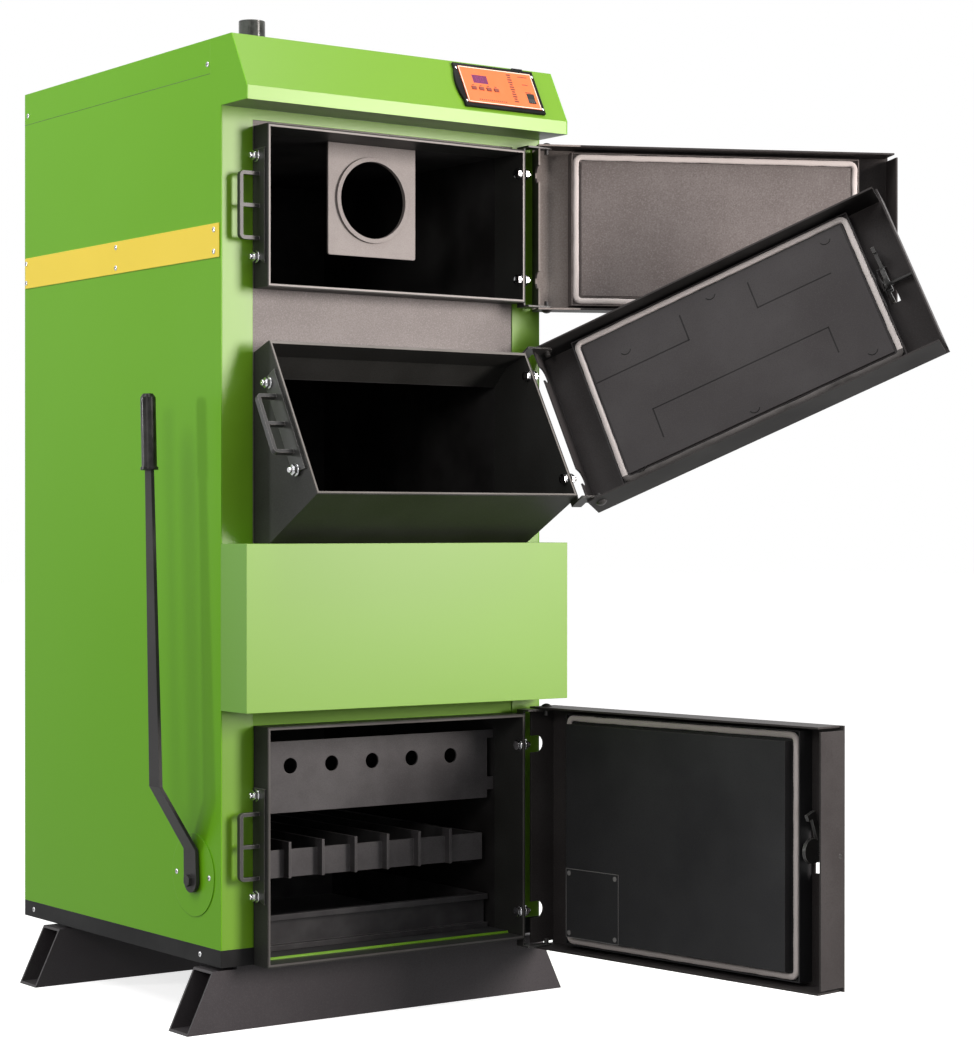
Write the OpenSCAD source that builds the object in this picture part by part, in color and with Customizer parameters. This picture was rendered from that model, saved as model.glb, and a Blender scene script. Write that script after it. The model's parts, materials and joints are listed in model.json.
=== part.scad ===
// Coal boiler with three swing doors, a sloping loading chute and a shaker lever.
// Millimetres, +Z up. The front plane of the casing faces -Y.
// The origin is the middle of the front foot's sole.

/* [Casing] */
// Width over the side panels
casing_w = 640; // [630:1:680]
// Depth from the front plane to the rear panel
casing_d = 708; // [690:1:780]
// Height of the roof above the upper collar
roof_rise = 139; // [129:1:189]
// Thickness of the painted casing sheet
sheet_t = 2; // [1.5:0.1:2.5]
// Height of the black base tray's rim
tray_h = 28; // [22:1:40]
// Thickness of the base tray's sheet
tray_t = 3; // [2:0.5:4]
// Height of the roof cover's flanges
roof_flange_h = 56; // [40:1:70]
// Distance from the front plane to the front edge of the roof cover
roof_start = 35; // [20:1:60]
// Width of each painted strip beside the front opening
front_strip_w = 57; // [54:0.5:60]
// Height of the painted strip over the front opening
front_head_h = 18; // [10:1:22]

/* [Hood] */
// Reach of the hood's top edge in front of the front plane
hood_top_reach = 32.4; // [25:0.1:45]
// Reach of the hood's lip in front of the front plane
hood_reach = 79.9; // [72:0.1:95]
// Height of the hood's sloping face
hood_slope_h = 89; // [84:1:95]
// Height of the upright lip under the sloping face
hood_lip_h = 22.3; // [14:0.1:26]

/* [Feet] */
// Height of a foot
foot_h = 99; // [80:1:140]
// Length of a foot along the floor
foot_w = 752; // [700:1:800]
// Length of a foot along its top
foot_top_w = 658; // [620:1:690]
// Depth of a foot
foot_d = 62.2; // [50:0.1:90]
// Wall of the foot's box section
foot_wall = 4; // [3:0.5:6]
// Front foot's distance behind the front plane
front_foot_y = 9.4; // [3:0.1:30]
// Distance from the rear foot's front side to the rear panel
rear_foot_y = 157; // [108:1:258]
// Height of the pads between the feet and the tray
pad_h = 6; // [3:1:12]
// Length of a pad
pad_l = 90; // [40:1:120]
// Distance of a pad from the middle
pad_x = 240; // [200:1:270]

/* [Boiler body] */
// Thickness of the wool beside the vessel
side_wool = 26; // [20:1:33]
// Thickness of the wool behind the vessel
rear_wool = 86; // [60:1:100]
// Height of the vessel's top above the upper collar
steam_rise = 39; // [19:1:59]
// Plate thickness of the outer vessel
shell_wall = 5; // [4:0.5:8]
// Thickness of the bare front plate
front_plate_t = 6; // [4:0.5:8]
// Plate thickness of the collars, chute and inner chamber
inner_wall = 5; // [4:0.5:6]
// Distance of the collars and the chute from the casing's sides
mouth_side = 62; // [61:0.5:66]
// Distance from the front plane to the inner chamber's front wall
jacket_d = 40; // [30:1:43]
// Water space behind the fire chamber
rear_water = 15; // [8:1:50]
// Underside of the water shelf above the throat
shelf_rise = 44; // [42:1:64]
// Depth of the flue passage behind the water shelf
shelf_passage = 115; // [80:1:195]

/* [Mouths] */
// Reach of the collars in front of the front plane
collar_reach = 42; // [41:0.5:50]
// Height of the upper collar above the chute's top edge
upper_mouth_gap = 86.8; // [84.3:0.1:90.3]
// Height of the upper collar
upper_mouth_h = 262.5; // [256:0.5:264]
// How far the lower mouth reaches below the base tray
lower_mouth_drop = 9; // [5:0.5:13]
// Height of the lower collar
lower_mouth_h = 395; // [380:0.5:398]
// Step from the foot of the lower mouth up to its collar's floor
lower_floor_step = 8; // [0:0.5:10]
// Reach of the chute's top edge in front of the front plane
chute_top_y = 44.83; // [43:0.1:50]
// Rise of the chute's mouth from its bottom to its top edge
chute_rise = 247.3; // [243.6:0.1:249.6]
// Reach of the chute's bottom edge in front of the front plane
chute_low_y = 189.35; // [180:0.1:195]
// Rise of the chute's floor from the front plane to its bottom edge
chute_floor_rise = 104.4; // [100:0.1:112]
// Drop of the chute's top plate from its top edge to the front plane
chute_roof_drop = 16.1; // [15.7:0.1:21.7]
// Distance of the chute's floor below the top of the fascia box
chute_root_drop = 26; // [22:0.5:36]
// Drop of the throat's top from the front plane to the inner wall
throat_drop = 39.6; // [29.6:0.1:55.6]

/* [Fascia] */
// Reach of the fascia box in front of the front plane
fascia_reach = 80; // [79:1:100]
// Height of the fascia box above the lower collar
fascia_gap = 27; // [21:1:39]
// Height of the fascia box
fascia_h = 268; // [255:1:280]

/* [Doors] */
// Reach of a door past the casing's side
door_over = 2.5; // [1.5:0.5:3]
// Sheet thickness of a door tray
door_t = 3; // [2:0.5:3]
// Distance from a mouth's front edge to the outer face of its door
door_front = 36.5; // [34:0.5:37]
// Depth of a door tray's flanges
door_flange = 58.5; // [54:0.5:60]
// Overlap of a door past its mouth at top and bottom
door_lap = 11; // [10:0.5:12]
// How far the side flanges stop short of the door's corners
corner_relief = 7.5; // [7:0.5:9]
// How far the end flanges stop short of the latch edge
flange_inset = 6; // [4:0.5:8]
// Distance of the hinge axis from the casing's side
hinge_in = 16; // [14:0.5:17]
// Opening angle of the upper door
upper_open = 153.7; // [100:0.1:154]
// Opening angle of the middle door
middle_open = 125.8; // [110:0.1:126]
// Opening angle of the lower door
lower_open = 97.4; // [60:0.1:150]
// Height of the rounded hinge notches
notch_h = 29; // [26:1:32]
// Depth of the rounded hinge notches
notch_depth = 30; // [27:1:34]
// Upper door's hinge bolts from its top and bottom edges
upper_bolt_inset = 51; // [45:1:60]
// Middle door's hinge bolts from its top and bottom edges
middle_bolt_inset = 51; // [45:1:60]
// Lower door's hinge bolts from its top and bottom edges
lower_bolt_inset = 65; // [55:1:80]
// Width of the gasket rope
rope_w = 12; // [10:0.5:13]
// Thickness of the gasket rope
rope_t = 8; // [6:0.5:9]
// Gap between the rope and the mouth it seals
rope_gap = 0.4; // [0.3:0.1:1]
// Wall of the channel round the gasket rope
channel_wall = 2; // [1.5:0.5:2.5]
// Distance of the rope's outer edge beyond the middle of the mouth's wall
rope_over = 2; // [1:0.5:3]
// Step between the rope and the inner plate on the upper and middle doors
plate_step = 3; // [1:0.5:14]
// Step between the rope and the inner plate on the lower door
lower_plate_step = 3; // [2:0.5:8]
// How far the lower door's plate reaches into its mouth
lower_plate_reach = 13; // [2:0.5:15]
// Pin diameter of the door hinges
hinge_pin_d = 8; // [6:0.5:10]
// Running clearance on radius of every pin and shaft
run_gap = 0.3; // [0.3:0.05:0.5]

/* [Latches] */
// Distance of a latch hook beside its mouth
hook_side = 18; // [14:0.5:22]
// Thickness of a latch hook
hook_t = 6; // [4:0.5:8]
// Distance from a mouth's front edge out to the latch axle
axle_out = 26; // [24:0.5:27]
// Diameter of the latch axle
axle_d = 7; // [6:0.5:8]
// Turn of the handle from open to latched
latch_turn = 70; // [66:1:72]
// Distance from a mouth's front edge back to the catch bars
catch_back = 21; // [20:0.5:24]
// Depth of the catch bars
catch_d = 9; // [7:0.5:10]
// Height of a catch bar
catch_bar = 6; // [5:0.5:7]
// Pitch of the catch bars
catch_pitch = 52; // [46:1:56]
// Reach of the catch beside its mouth
catch_reach = 39; // [36:0.5:41]
// Height of a catch's base plate
catch_plate_h = 186; // [176:1:200]
// Pitch of the bolts in a catch's base plate
catch_bolt_pitch = 163; // [150:1:168]
// Thickness of catch and hinge bracket plates
bracket_t = 3; // [2:0.5:3.5]
// Height of the upper latch above the middle of its mouth
upper_latch_rise = 0; // [-8:1:8]
// Height of the middle latch above the middle of its mouth
middle_latch_rise = 0; // [-8:1:8]
// Height of the lower latch above the middle of its mouth
lower_latch_rise = 5; // [-8:1:10]
// Diameter of the handle grip
grip_d = 22; // [18:1:25]
// Length of the handle grip
grip_l = 92; // [70:1:110]
// Distance of the hanging grip in front of its axle
grip_out = 37; // [34:1:42]

/* [Fire parts] */
// Gap between the grate and the chamber's sides
grate_side = 13; // [8:1:23]
// Height of the grate above the vessel's floor
grate_rise = 119; // [113:1:127]
// Height of the grate's cross bars
grate_bar_h = 46; // [40:1:50]
// Thickness of the grate's cross bars
grate_bar_t = 8; // [6:1:12]
// Height of the grate's upright fins
fin_h = 60; // [52:1:66]
// Thickness of a fin
fin_t = 5; // [4:0.5:8]
// Pitch of the fins
fin_pitch = 65; // [60:1:72]
// Number of fins
fin_n = 6; // [4:1:6]
// Front face of the front cross bar
grate_y = 60; // [58:1:64]
// How far the fins stand ahead of the front bar
fin_lead = 15; // [8:1:15]
// Gap between the grate and the chamber's rear wall
grate_rear = 35; // [35:1:75]
// Gap between the air plate and the chamber's sides, which its tabs bridge
air_plate_side = 13; // [8:1:18]
// Height of the air plate
air_plate_h = 118; // [100:1:120]
// Distance of the air plate below the lower collar's top
air_plate_drop = 32; // [23:1:53]
// Diameter of the air holes
air_hole_d = 26; // [16:1:34]
// Pitch of the air holes
air_hole_pitch = 81; // [60:1:86]
// Thickness of the air plate and the flue plate
plate_t = 4; // [3:0.5:6]
// Width of the flue plate
flue_plate_w = 176; // [170:1:200]
// Height of the flue plate
flue_plate_h = 188; // [185:1:200]
// Bore of the flue plate's ring
flue_ring_d = 130; // [100:1:140]
// Centre of the flue plate's ring below the plate's top edge
flue_ring_drop = 92; // [88:1:100]
// Width of the flue plate's ring
flue_ring_w = 7.5; // [5:0.5:10]
// Ash pan's front face behind the front plane
pan_y = 62; // [56:1:70]
// Gap between the ash pan and the chamber's rear wall
pan_rear = 43; // [33:1:93]
// Gap between the ash pan and the bolt heads in the lower mouth
pan_side = 1.6; // [0.6:0.2:12]
// Height of the ash pan
pan_h = 59; // [50:1:80]
// Sheet of the ash pan
pan_t = 2; // [1.5:0.5:3]
// Height of the rolled lips on the ash pan's front
pan_lip = 9; // [6:0.5:14]
// Reach of the rolled lips
pan_lip_d = 12; // [8:1:16]

/* [Shaker lever] */
// Pivot of the lever behind the front plane
lever_y = 83; // [81:1:85]
// Pivot of the lever above the grate's underside
lever_rise = 6; // [5:1:10]
// Diameter of the lever's shaft
lever_shaft_d = 16; // [14:1:18]
// Thickness of the lever's flat bar
lever_t = 6; // [5:0.5:8]
// Height of the grip's foot above the lever's pivot
lever_h = 672; // [600:1:760]
// How far the lever leans back as it stands
lever_lean = 2.4; // [-4:0.1:6]
// How far the bar is cranked out from the casing
lever_offset = 62; // [20:1:70]
// Width of the flat bar above its foot
lever_w = 34; // [30:1:38]
// Width of the flat bar at the grip
lever_top_w = 20; // [16:1:20]
// Length of the lever's grip
lever_grip_l = 119; // [100:1:140]
// Diameter of the lever's grip
lever_grip_d = 25; // [24.5:0.5:28]
// Radius of the crank inside the fire chamber
crank_r = 26; // [24:1:28]
// Radius of the round cover round the shaft
lever_cover_r = 68; // [55:1:75]
// Gap between the casing and the lever's flat bar
lever_gap = 4; // [3.5:0.5:8]

/* [Blower] */
// Diameter of the blower housing
blower_d = 170; // [160:2:190]
// Depth of the blower housing
blower_depth = 52; // [48:1:54]
// Height of the blower's centre in the fascia box
blower_rise = 122; // [112:1:132]
// Diameter of the blower wheel
wheel_d = 130; // [110:2:140]
// Width of the wheel's blades
wheel_w = 26; // [18:1:28]
// Number of blades
blade_n = 24; // [12:1:30]
// Diameter of the motor
motor_d = 70; // [50:1:80]
// Length of the motor
motor_l = 26; // [20:1:26]
// Diameter of the air tube into the boiler
air_tube_d = 56; // [40:1:60]

/* [Pipes] */
// Outer diameter of the supply and return stubs
stub_d = 48.3; // [43:0.1:60]
// Diameter over the thread at a stub's end
thread_d = 47.8; // [42:0.1:48]
// Length of the thread at a stub's end
thread_l = 24; // [18:1:32]
// Wall of the stubs
stub_wall = 4; // [3:0.5:5]
// Height of the supply stub above the roof
supply_rise = 128; // [60:1:160]
// Distance of the supply stub behind the front plane
supply_y = 440; // [300:1:500]
// Reach of the return stub behind the rear panel
return_reach = 62; // [40:1:120]
// Height of the return stub above the vessel's floor
return_rise = 87; // [67:1:147]
// Outer diameter of the drain socket
drain_d = 26.4; // [21:0.1:34]
// Height of the drain socket above the vessel's floor
drain_rise = 37; // [32:1:47]
// Distance of the drain socket from the middle
drain_x = 180; // [120:1:220]
// Outer diameter of the flue spigot
flue_d = 159; // [150:1:180]
// Wall of the flue spigot
flue_wall = 3; // [2:0.5:4]
// Height of the flue's centre above the upper collar's foot
flue_rise = 151.5; // [132:0.5:161]
// Reach of the flue spigot behind the rear panel
flue_reach = 75; // [66:1:120]
// Length of the spigot behind its stop bead
flue_end_l = 60; // [40:1:64]
// Height and width of the spigot's stop bead
flue_bead = 4; // [3:0.5:6]

/* [Control panel] */
// Left edge of the control panel
panel_x = 100; // [60:1:120]
// Width of the control panel
panel_w = 173; // [165:1:185]
// Height of the control panel along the slope
panel_h = 88; // [82:1:90]
// Distance of the control panel from the hood's top edge
panel_drop = 6; // [3:0.5:8]
// Thickness of the control panel's bezel
bezel_t = 5; // [4:0.5:7]
// Depth of the control box behind the hood
box_depth = 26; // [18:1:28]
// Thickness of the coloured front plate
face_t = 1.5; // [1:0.1:2]
// Margin of the front plate inside the bezel
face_margin = 7; // [5:0.5:9]
// Width of the display window
display_w = 31; // [24:1:36]
// Height of the display window
display_h = 17; // [12:1:18]
// Width of a key
key_w = 9; // [6:0.5:10]
// Height of a key
key_h = 6; // [4:0.5:8]
// Pitch of the keys
key_pitch = 15.5; // [12:0.5:16]
// How far a key stands out
key_out = 1.4; // [1.2:0.1:2]
// Width of the rocker switch
rocker_w = 15; // [12:0.5:17]
// Height of the rocker switch
rocker_h = 20; // [16:0.5:22]

/* [Side band] */
// Distance of the band's lower edge below the roof cover's flange
band_drop = 298; // [244:1:344]
// Height of the band
band_h = 55; // [40:1:80]
// Thickness of the band
band_t = 1.5; // [1:0.1:1.8]
// Margin of the band from the panel's ends
band_margin = 4; // [2:1:10]
// Head diameter of the casing screws
screw_d = 9; // [7:0.5:12]
// Head height of the casing screws
screw_h = 1.8; // [1:0.1:1.9]

/* [Hidden] */
$fn = 48;
eps = 0.01;
fit_gap = 0.5;
weld_gap = 0.05;
bolt_fit = 0.3;

green = "yellowgreen";
casing_x = casing_w / 2;
panel_in = casing_x - sheet_t;
tray_z = foot_h + pad_h;
tray_floor = tray_z + tray_t;
rim_z = tray_z + tray_h;
floor_z = tray_floor + shell_wall;
mouth_x = casing_x - mouth_side;
throat_x = mouth_x - inner_wall;
plate_y = sheet_t;
plate_back = plate_y + front_plate_t;
shell_x = panel_in - side_wool;
shell_back = casing_d - sheet_t - rear_wool;
chamber_back = shell_back - shell_wall - rear_water;
chamber_in = chamber_back - inner_wall;
shelf_back = chamber_in - shelf_passage;

lower_mouth_z = tray_z - lower_mouth_drop;
lower_mouth_top = lower_mouth_z + lower_mouth_h;
lower_floor = lower_mouth_z + lower_floor_step;
sill_h = 2;
fascia_z = lower_mouth_top + fascia_gap;
chute_root_low = fascia_z + fascia_h - chute_root_drop;
chute_low_z = chute_root_low + chute_floor_rise;
chute_top_z = chute_low_z + chute_rise;
chute_root_top = chute_top_z - chute_roof_drop;
throat_top = chute_root_top - throat_drop;
shelf_z = throat_top + shelf_rise;
upper_mouth_z = chute_top_z + upper_mouth_gap;
upper_mouth_top = upper_mouth_z + upper_mouth_h;
casing_h = upper_mouth_top + roof_rise;
shell_top = upper_mouth_top + steam_rise;
flue_z = upper_mouth_z + flue_rise;
hood_lip_top = casing_h - hood_slope_h;
hood_lip_low = hood_lip_top - hood_lip_h;
hood_lean = atan2(hood_reach - hood_top_reach, hood_slope_h);
roof_flange_z = casing_h - roof_flange_h;
band_z = roof_flange_z - band_drop;
return_z = floor_z + return_rise;
drain_z = floor_z + drain_rise;
blower_z = fascia_z + blower_rise;
grate_z = floor_z + grate_rise;
grate_x = throat_x - grate_side;
grate_l = chamber_in - grate_rear - grate_y;
air_plate_x = throat_x - air_plate_side;
air_plate_z = lower_mouth_top - air_plate_drop - air_plate_h;
pan_l = chamber_in - pan_rear - pan_y;
lever_z = grate_z + lever_rise;
chute_run = chute_low_y - chute_top_y;
chute_lean = atan2(chute_run, chute_rise);
chute_mouth_h = sqrt(chute_rise * chute_rise + chute_run * chute_run);
door_x = casing_x + door_over;
hinge_x = casing_x - hinge_in;
hook_x = mouth_x + hook_side;
flange_end = door_flange - door_front;
liner_x = mouth_x - inner_wall / 2 + rope_over + channel_wall;
tray_inside = door_front - door_t;
collar_y = -collar_reach;
shelf_floor = upper_mouth_z + inner_wall;
tube_z = blower_z - blower_d / 2 + air_tube_d / 2 + 8;

box_margin = 8;
face_z = -(panel_drop + panel_h / 2);
display_x = panel_x + 51.5;
display_z = -37.5;
key_x = panel_x + 33;
key_z = -57;
rocker_x = panel_x + 150.5;
rocker_z = -66;
bolt_d = 10;
bolt_head = 6.4;
pan_x = throat_x - bolt_head - pan_side;
bolt_nut = 8;
bolt_end = 6;
bolt_af = 16;
catch_edge = 11;
catch_round = 8;
bolt_y = 11;
catch_bolt_y = 30;
lug_t = 3;
lug_r = 9.5;
flue_ledge = 4;
flue_corner = 4;
air_hole_drop = 41;
air_tab_h = 22;
air_tab_inset = 14;
bearer_h = 12;
bearer_lap = 8;
screw_low_inset = 10;
hook_front = catch_back + axle_out;
hook_back = hook_front + catch_d + 1.5;
patch_w = 124;
patch_h = 118;
patch_rivet = 8;
rope_out_x = liner_x - channel_wall;
rope_edge = mouth_x - rope_out_x;
groove_w = 1.6;
groove_depth = 0.8;
crank_pin_d = 8;
lever_cover_t = 1.5;
lever_x = -casing_x - lever_gap;
joggle_low = 50;
joggle_high = 155;
lever_foot_w = 40;
grip_tilt = lever_lean;
lever_top = [lever_y + lever_h * tan(lever_lean), lever_z + lever_h];
lever_bend = [lever_y + joggle_high * tan(lever_lean), lever_z + joggle_high];
tang_l = 60;
tang_w = lever_top_w - 6;
wheel_y = [-plate_y - 14 - wheel_w, -plate_y - 14];

// Places a child so that the origin is the middle of the front foot's sole
module place() {
  translate([0, -(front_foot_y + foot_d / 2), 0]) children();
}

// A block from its lowest to its highest corner on each axis
module block(x, y, z) {
  translate([x[0], y[0], z[0]])
    cube([x[1] - x[0], y[1] - y[0], z[1] - z[0]]);
}

// A cylinder along X
module rod_x(x, y, z, d) {
  translate([x[0], y, z]) rotate([0, 90, 0]) cylinder(d = d, h = x[1] - x[0]);
}

// A cylinder along Y
module rod_y(x, y, z, d) {
  translate([x, y[0], z]) rotate([-90, 0, 0]) cylinder(d = d, h = y[1] - y[0]);
}

// An outline drawn in the YZ plane and drawn out along X
module profile_x(x) {
  translate([x[0], 0, 0]) rotate([90, 0, 90]) linear_extrude(x[1] - x[0]) children();
}

// A hexagon head or nut along X
module hex_x(x, y, z, af) {
  translate([x[0], y, z]) rotate([0, 90, 0]) cylinder(d = af / cos(30), h = x[1] - x[0], $fn = 6);
}

// Mouth frames: local Y = 0 is the mouth's front edge and local Z runs up it
module at_upper_mouth() {
  translate([0, collar_y, upper_mouth_z]) children();
}

module at_middle_mouth() {
  translate([0, -chute_low_y, chute_low_z]) rotate([-chute_lean, 0, 0]) children();
}

module at_lower_mouth() {
  translate([0, collar_y, lower_mouth_z]) children();
}

// Turns a door about its hinge pins, as it stands open
module swing(angle) {
  translate([hinge_x, 0, 0]) rotate([0, 0, angle]) translate([-hinge_x, 0, 0]) children();
}

// Hood face frame: local Z = 0 is the hood's top edge, local Y = 0 its outer face
module at_hood_face() {
  translate([0, -hood_top_reach, casing_h]) rotate([-hood_lean, 0, 0]) children();
}

// Feet
module foot(y) {
  half = foot_w / 2;
  top_half = foot_top_w / 2;
  in_z = [foot_wall, foot_h - foot_wall];
  difference() {
    translate([0, y + foot_d, 0]) rotate([90, 0, 0]) linear_extrude(foot_d)
      polygon([[-half, 0], [half, 0], [top_half, foot_h], [-top_half, foot_h]]);
    block([-half, half], [y + foot_wall, y + foot_d - foot_wall], in_z);
  }
  for (side = [-1, 1])
    block([side * pad_x - pad_l / 2, side * pad_x + pad_l / 2], [y, y + foot_d],
      [foot_h, tray_z]);
}

module front_foot() {
  color("dimgray") place() foot(front_foot_y);
}

module rear_foot() {
  color("dimgray") place() foot(casing_d - rear_foot_y);
}

// Casing
module base_tray() {
  color("black") place() difference() {
    block([-casing_x, casing_x], [0, casing_d], [tray_z, rim_z]);
    block([-panel_in, panel_in], [sheet_t, casing_d - sheet_t], [tray_floor, rim_z + 1]);
    block([-mouth_x - fit_gap, mouth_x + fit_gap], [-1, sheet_t], [tray_z - 1, rim_z + 1]);
  }
}

module side_outline() {
  polygon([
    [0, rim_z], [casing_d, rim_z], [casing_d, roof_flange_z], [roof_start, roof_flange_z],
    [roof_start, casing_h], [-hood_top_reach, casing_h], [-hood_reach, hood_lip_top],
    [-hood_reach, hood_lip_low], [0, hood_lip_low]
  ]);
}

module left_panel() {
  color(green) place() difference() {
    profile_x([-casing_x, -panel_in]) side_outline();
    rod_x([-casing_x - 1, -panel_in + 1], lever_y, lever_z, lever_shaft_d + 6);
  }
}

module right_panel() {
  color(green) place() profile_x([panel_in, casing_x]) side_outline();
}

module rear_panel() {
  y = [casing_d - sheet_t, casing_d];
  color(green) place() difference() {
    block([-panel_in, panel_in], y, [rim_z, roof_flange_z]);
    rear_holes([y[0] - 1, y[1] + 1], 2 * fit_gap);
  }
}

module front_frame() {
  open_x = panel_in - front_strip_w;
  color(green) place() {
    difference() {
      block([-panel_in, panel_in], [0, sheet_t], [rim_z, casing_h - sheet_t]);
      block([-open_x, open_x], [-1, sheet_t + 1], [rim_z - 1, hood_lip_low - front_head_h]);
    }
    block([-throat_x, throat_x], [0, sheet_t],
      [lower_floor + inner_wall, lower_floor + inner_wall + sill_h]);
  }
}

module roof_cover() {
  color(green) place() difference() {
    block([-casing_x, casing_x], [roof_start, casing_d], [roof_flange_z, casing_h]);
    block([-panel_in, panel_in], [roof_start - 1, casing_d - sheet_t],
      [roof_flange_z - 1, casing_h - sheet_t]);
    translate([0, supply_y, casing_h - sheet_t - 1])
      cylinder(d = stub_d + 2 * fit_gap, h = sheet_t + 2);
  }
}

module hood() {
  inset = sheet_t / cos(hood_lean);
  lip_in = sheet_t * (1 - sin(hood_lean)) / cos(hood_lean);
  color(green) place() difference() {
    profile_x([-panel_in, panel_in]) polygon([
      [roof_start, casing_h], [-hood_top_reach, casing_h], [-hood_reach, hood_lip_top],
      [-hood_reach, hood_lip_low], [0, hood_lip_low], [0, hood_lip_low + sheet_t],
      [-hood_reach + sheet_t, hood_lip_low + sheet_t],
      [-hood_reach + sheet_t, hood_lip_top - lip_in * sin(hood_lean)],
      [-hood_top_reach + inset - sheet_t * tan(hood_lean), casing_h - sheet_t],
      [roof_start, casing_h - sheet_t]
    ]);
    at_hood_face() box_hole();
  }
}

module fascia_cover() {
  color(green) place() difference() {
    block([-casing_x, casing_x], [-fascia_reach, 0], [fascia_z, fascia_z + fascia_h]);
    block([-panel_in, panel_in], [-fascia_reach + sheet_t, 1],
      [fascia_z + sheet_t, fascia_z + fascia_h - sheet_t]);
    profile_x([-mouth_x - fit_gap, mouth_x + fit_gap]) polygon([
      [-chute_low_y, chute_low_z - 2], [plate_y, chute_root_low - 2],
      [plate_y, casing_h], [-chute_low_y, casing_h]
    ]);
  }
}

module insulation() {
  gap = fit_gap;
  top = (shell_top + casing_h) / 2;
  color("khaki") place() difference() {
    block([-panel_in + gap, panel_in - gap], [plate_y, casing_d - sheet_t - gap], [rim_z, top]);
    block([-shell_x, shell_x], [-1, shell_back], [rim_z - 1, shell_top]);
    translate([0, supply_y, shell_top - 1]) cylinder(d = stub_d + 4 * gap, h = casing_h);
    rear_holes([shell_back - 1, casing_d], 4 * gap);
    rod_x([-casing_x, -shell_x + 1], lever_y, lever_z, lever_shaft_d + 6);
  }
}

// Boiler body
module chute_outline() {
  polygon([
    [-chute_top_y, chute_top_z], [-chute_low_y, chute_low_z], [0, chute_root_low],
    [jacket_d, chute_root_low], [jacket_d, throat_top + inner_wall],
    [plate_y, chute_root_top], [0, chute_root_top]
  ]);
}

// The chute's opening: its walls are inner_wall thick, measured square to each plate
module chute_inside() {
  floor_run = chute_low_y;
  floor_rise = chute_low_z - chute_root_low;
  top_rise = chute_top_z - chute_root_top;
  floor_up = inner_wall * norm([floor_run, floor_rise]) / floor_run;
  top_down = inner_wall * norm([chute_top_y, top_rise]) / chute_top_y;
  floor_slope = floor_rise / floor_run;
  top_slope = top_rise / chute_top_y;
  far = chute_low_y + inner_wall * 4;
  near = chute_top_y + inner_wall * 4;
  root = chute_root_low + floor_up;
  polygon([
    [-near, chute_root_top - top_down + near * top_slope],
    [-far, root + far * floor_slope], [0, root], [jacket_d + 1, root],
    [jacket_d + 1, throat_top], [plate_y, chute_root_top - top_down],
    [0, chute_root_top - top_down]
  ]);
}

// Holes of the pipes and the flue through the rear walls
module rear_holes(y, slack) {
  rod_y(0, y, flue_z, flue_d + slack);
  rod_y(0, y, return_z, stub_d + slack);
  rod_y(drain_x, y, drain_z, drain_d + slack);
}

// The vessel is welded from separate plates, which stay separate solids here
module boiler_shell() {
  in_x = shell_x - shell_wall - weld_gap;
  in_y = [plate_back, shell_back - shell_wall - weld_gap];
  lever_hole = lever_shaft_d + 4 * run_gap;
  color("silver") place() {
    difference() {
      block([-shell_x, shell_x], [plate_y, plate_back - weld_gap], [tray_floor, shell_top]);
      block([-mouth_x, mouth_x], [0, plate_back], [upper_mouth_z, upper_mouth_top]);
      block([-mouth_x, mouth_x], [0, plate_back], [floor_z, lower_mouth_top]);
      intersection() {
        profile_x([-mouth_x, mouth_x]) chute_outline();
        block([-mouth_x - 1, mouth_x + 1], [0, plate_back], [0, casing_h]);
      }
      rod_y(0, [0, plate_back], tube_z, air_tube_d + 2 * sheet_t);
    }
    difference() {
      union() {
        block([-shell_x, -shell_x + shell_wall], [plate_back, shell_back], [tray_floor, shell_top]);
        rod_x([-shell_x + shell_wall - eps, -mouth_x - weld_gap], lever_y, lever_z,
          lever_shaft_d + 14);
      }
      rod_x([-shell_x - 1, -mouth_x + 1], lever_y, lever_z, lever_hole);
    }
    block([shell_x - shell_wall, shell_x], [plate_back, shell_back], [tray_floor, shell_top]);
    difference() {
      block([-in_x, in_x], [shell_back - shell_wall, shell_back], [tray_floor, shell_top]);
      rear_holes([shell_back - shell_wall - 1, shell_back + 1], 0);
    }
    difference() {
      block([-in_x, in_x], in_y, [shell_top - shell_wall, shell_top]);
      translate([0, supply_y, shell_top - shell_wall - 1]) cylinder(d = stub_d, h = shell_wall + 2);
    }
    block([-in_x, in_x], in_y, [tray_floor, floor_z - weld_gap]);
  }
}

// Side wall of the fire chamber, open where the water shelf passes through
module chamber_side(side) {
  x = side < 0 ? [-mouth_x, -throat_x] : [throat_x, mouth_x];
  difference() {
    block(x, [jacket_d, chamber_back], [floor_z, upper_mouth_top]);
    block([x[0] - 1, x[1] + 1], [jacket_d - 1, shelf_back - inner_wall],
      [shelf_z + inner_wall, shelf_floor - inner_wall]);
    if (side < 0)
      rod_x([x[0] - 1, x[1] + 1], lever_y, lever_z, lever_shaft_d + 4 * run_gap);
  }
}

module fuel_chamber() {
  inside = [-throat_x + weld_gap, throat_x - weld_gap];
  front = [jacket_d, jacket_d + inner_wall];
  back = [chamber_in, chamber_back];
  crown = [jacket_d, back[0] - weld_gap];
  shelf = [jacket_d, shelf_back];
  color("dimgray") place() {
    for (side = [-1, 1]) chamber_side(side);
    difference() {
      block(inside, back, [floor_z, upper_mouth_top]);
      rod_y(0, [back[0] - 1, back[1] + 1], flue_z, flue_d - 2 * flue_wall - flue_ledge);
    }
    block(inside, crown, [upper_mouth_top - inner_wall, upper_mouth_top]);
    block(inside, shelf, [shelf_floor - inner_wall, shelf_floor]);
    block(inside, shelf, [shelf_z, shelf_z + inner_wall]);
    block(inside, [shelf_back - inner_wall, shelf_back],
      [shelf_z + inner_wall + weld_gap, shelf_floor - inner_wall - weld_gap]);
    block(inside, front, [throat_top, shelf_z - weld_gap]);
    difference() {
      block(inside, front, [lower_mouth_top - inner_wall, chute_root_low + inner_wall]);
      rod_y(0, [front[0] - 1, front[1] + 1], tube_z, air_tube_d + 2 * sheet_t);
    }
  }
}

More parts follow.
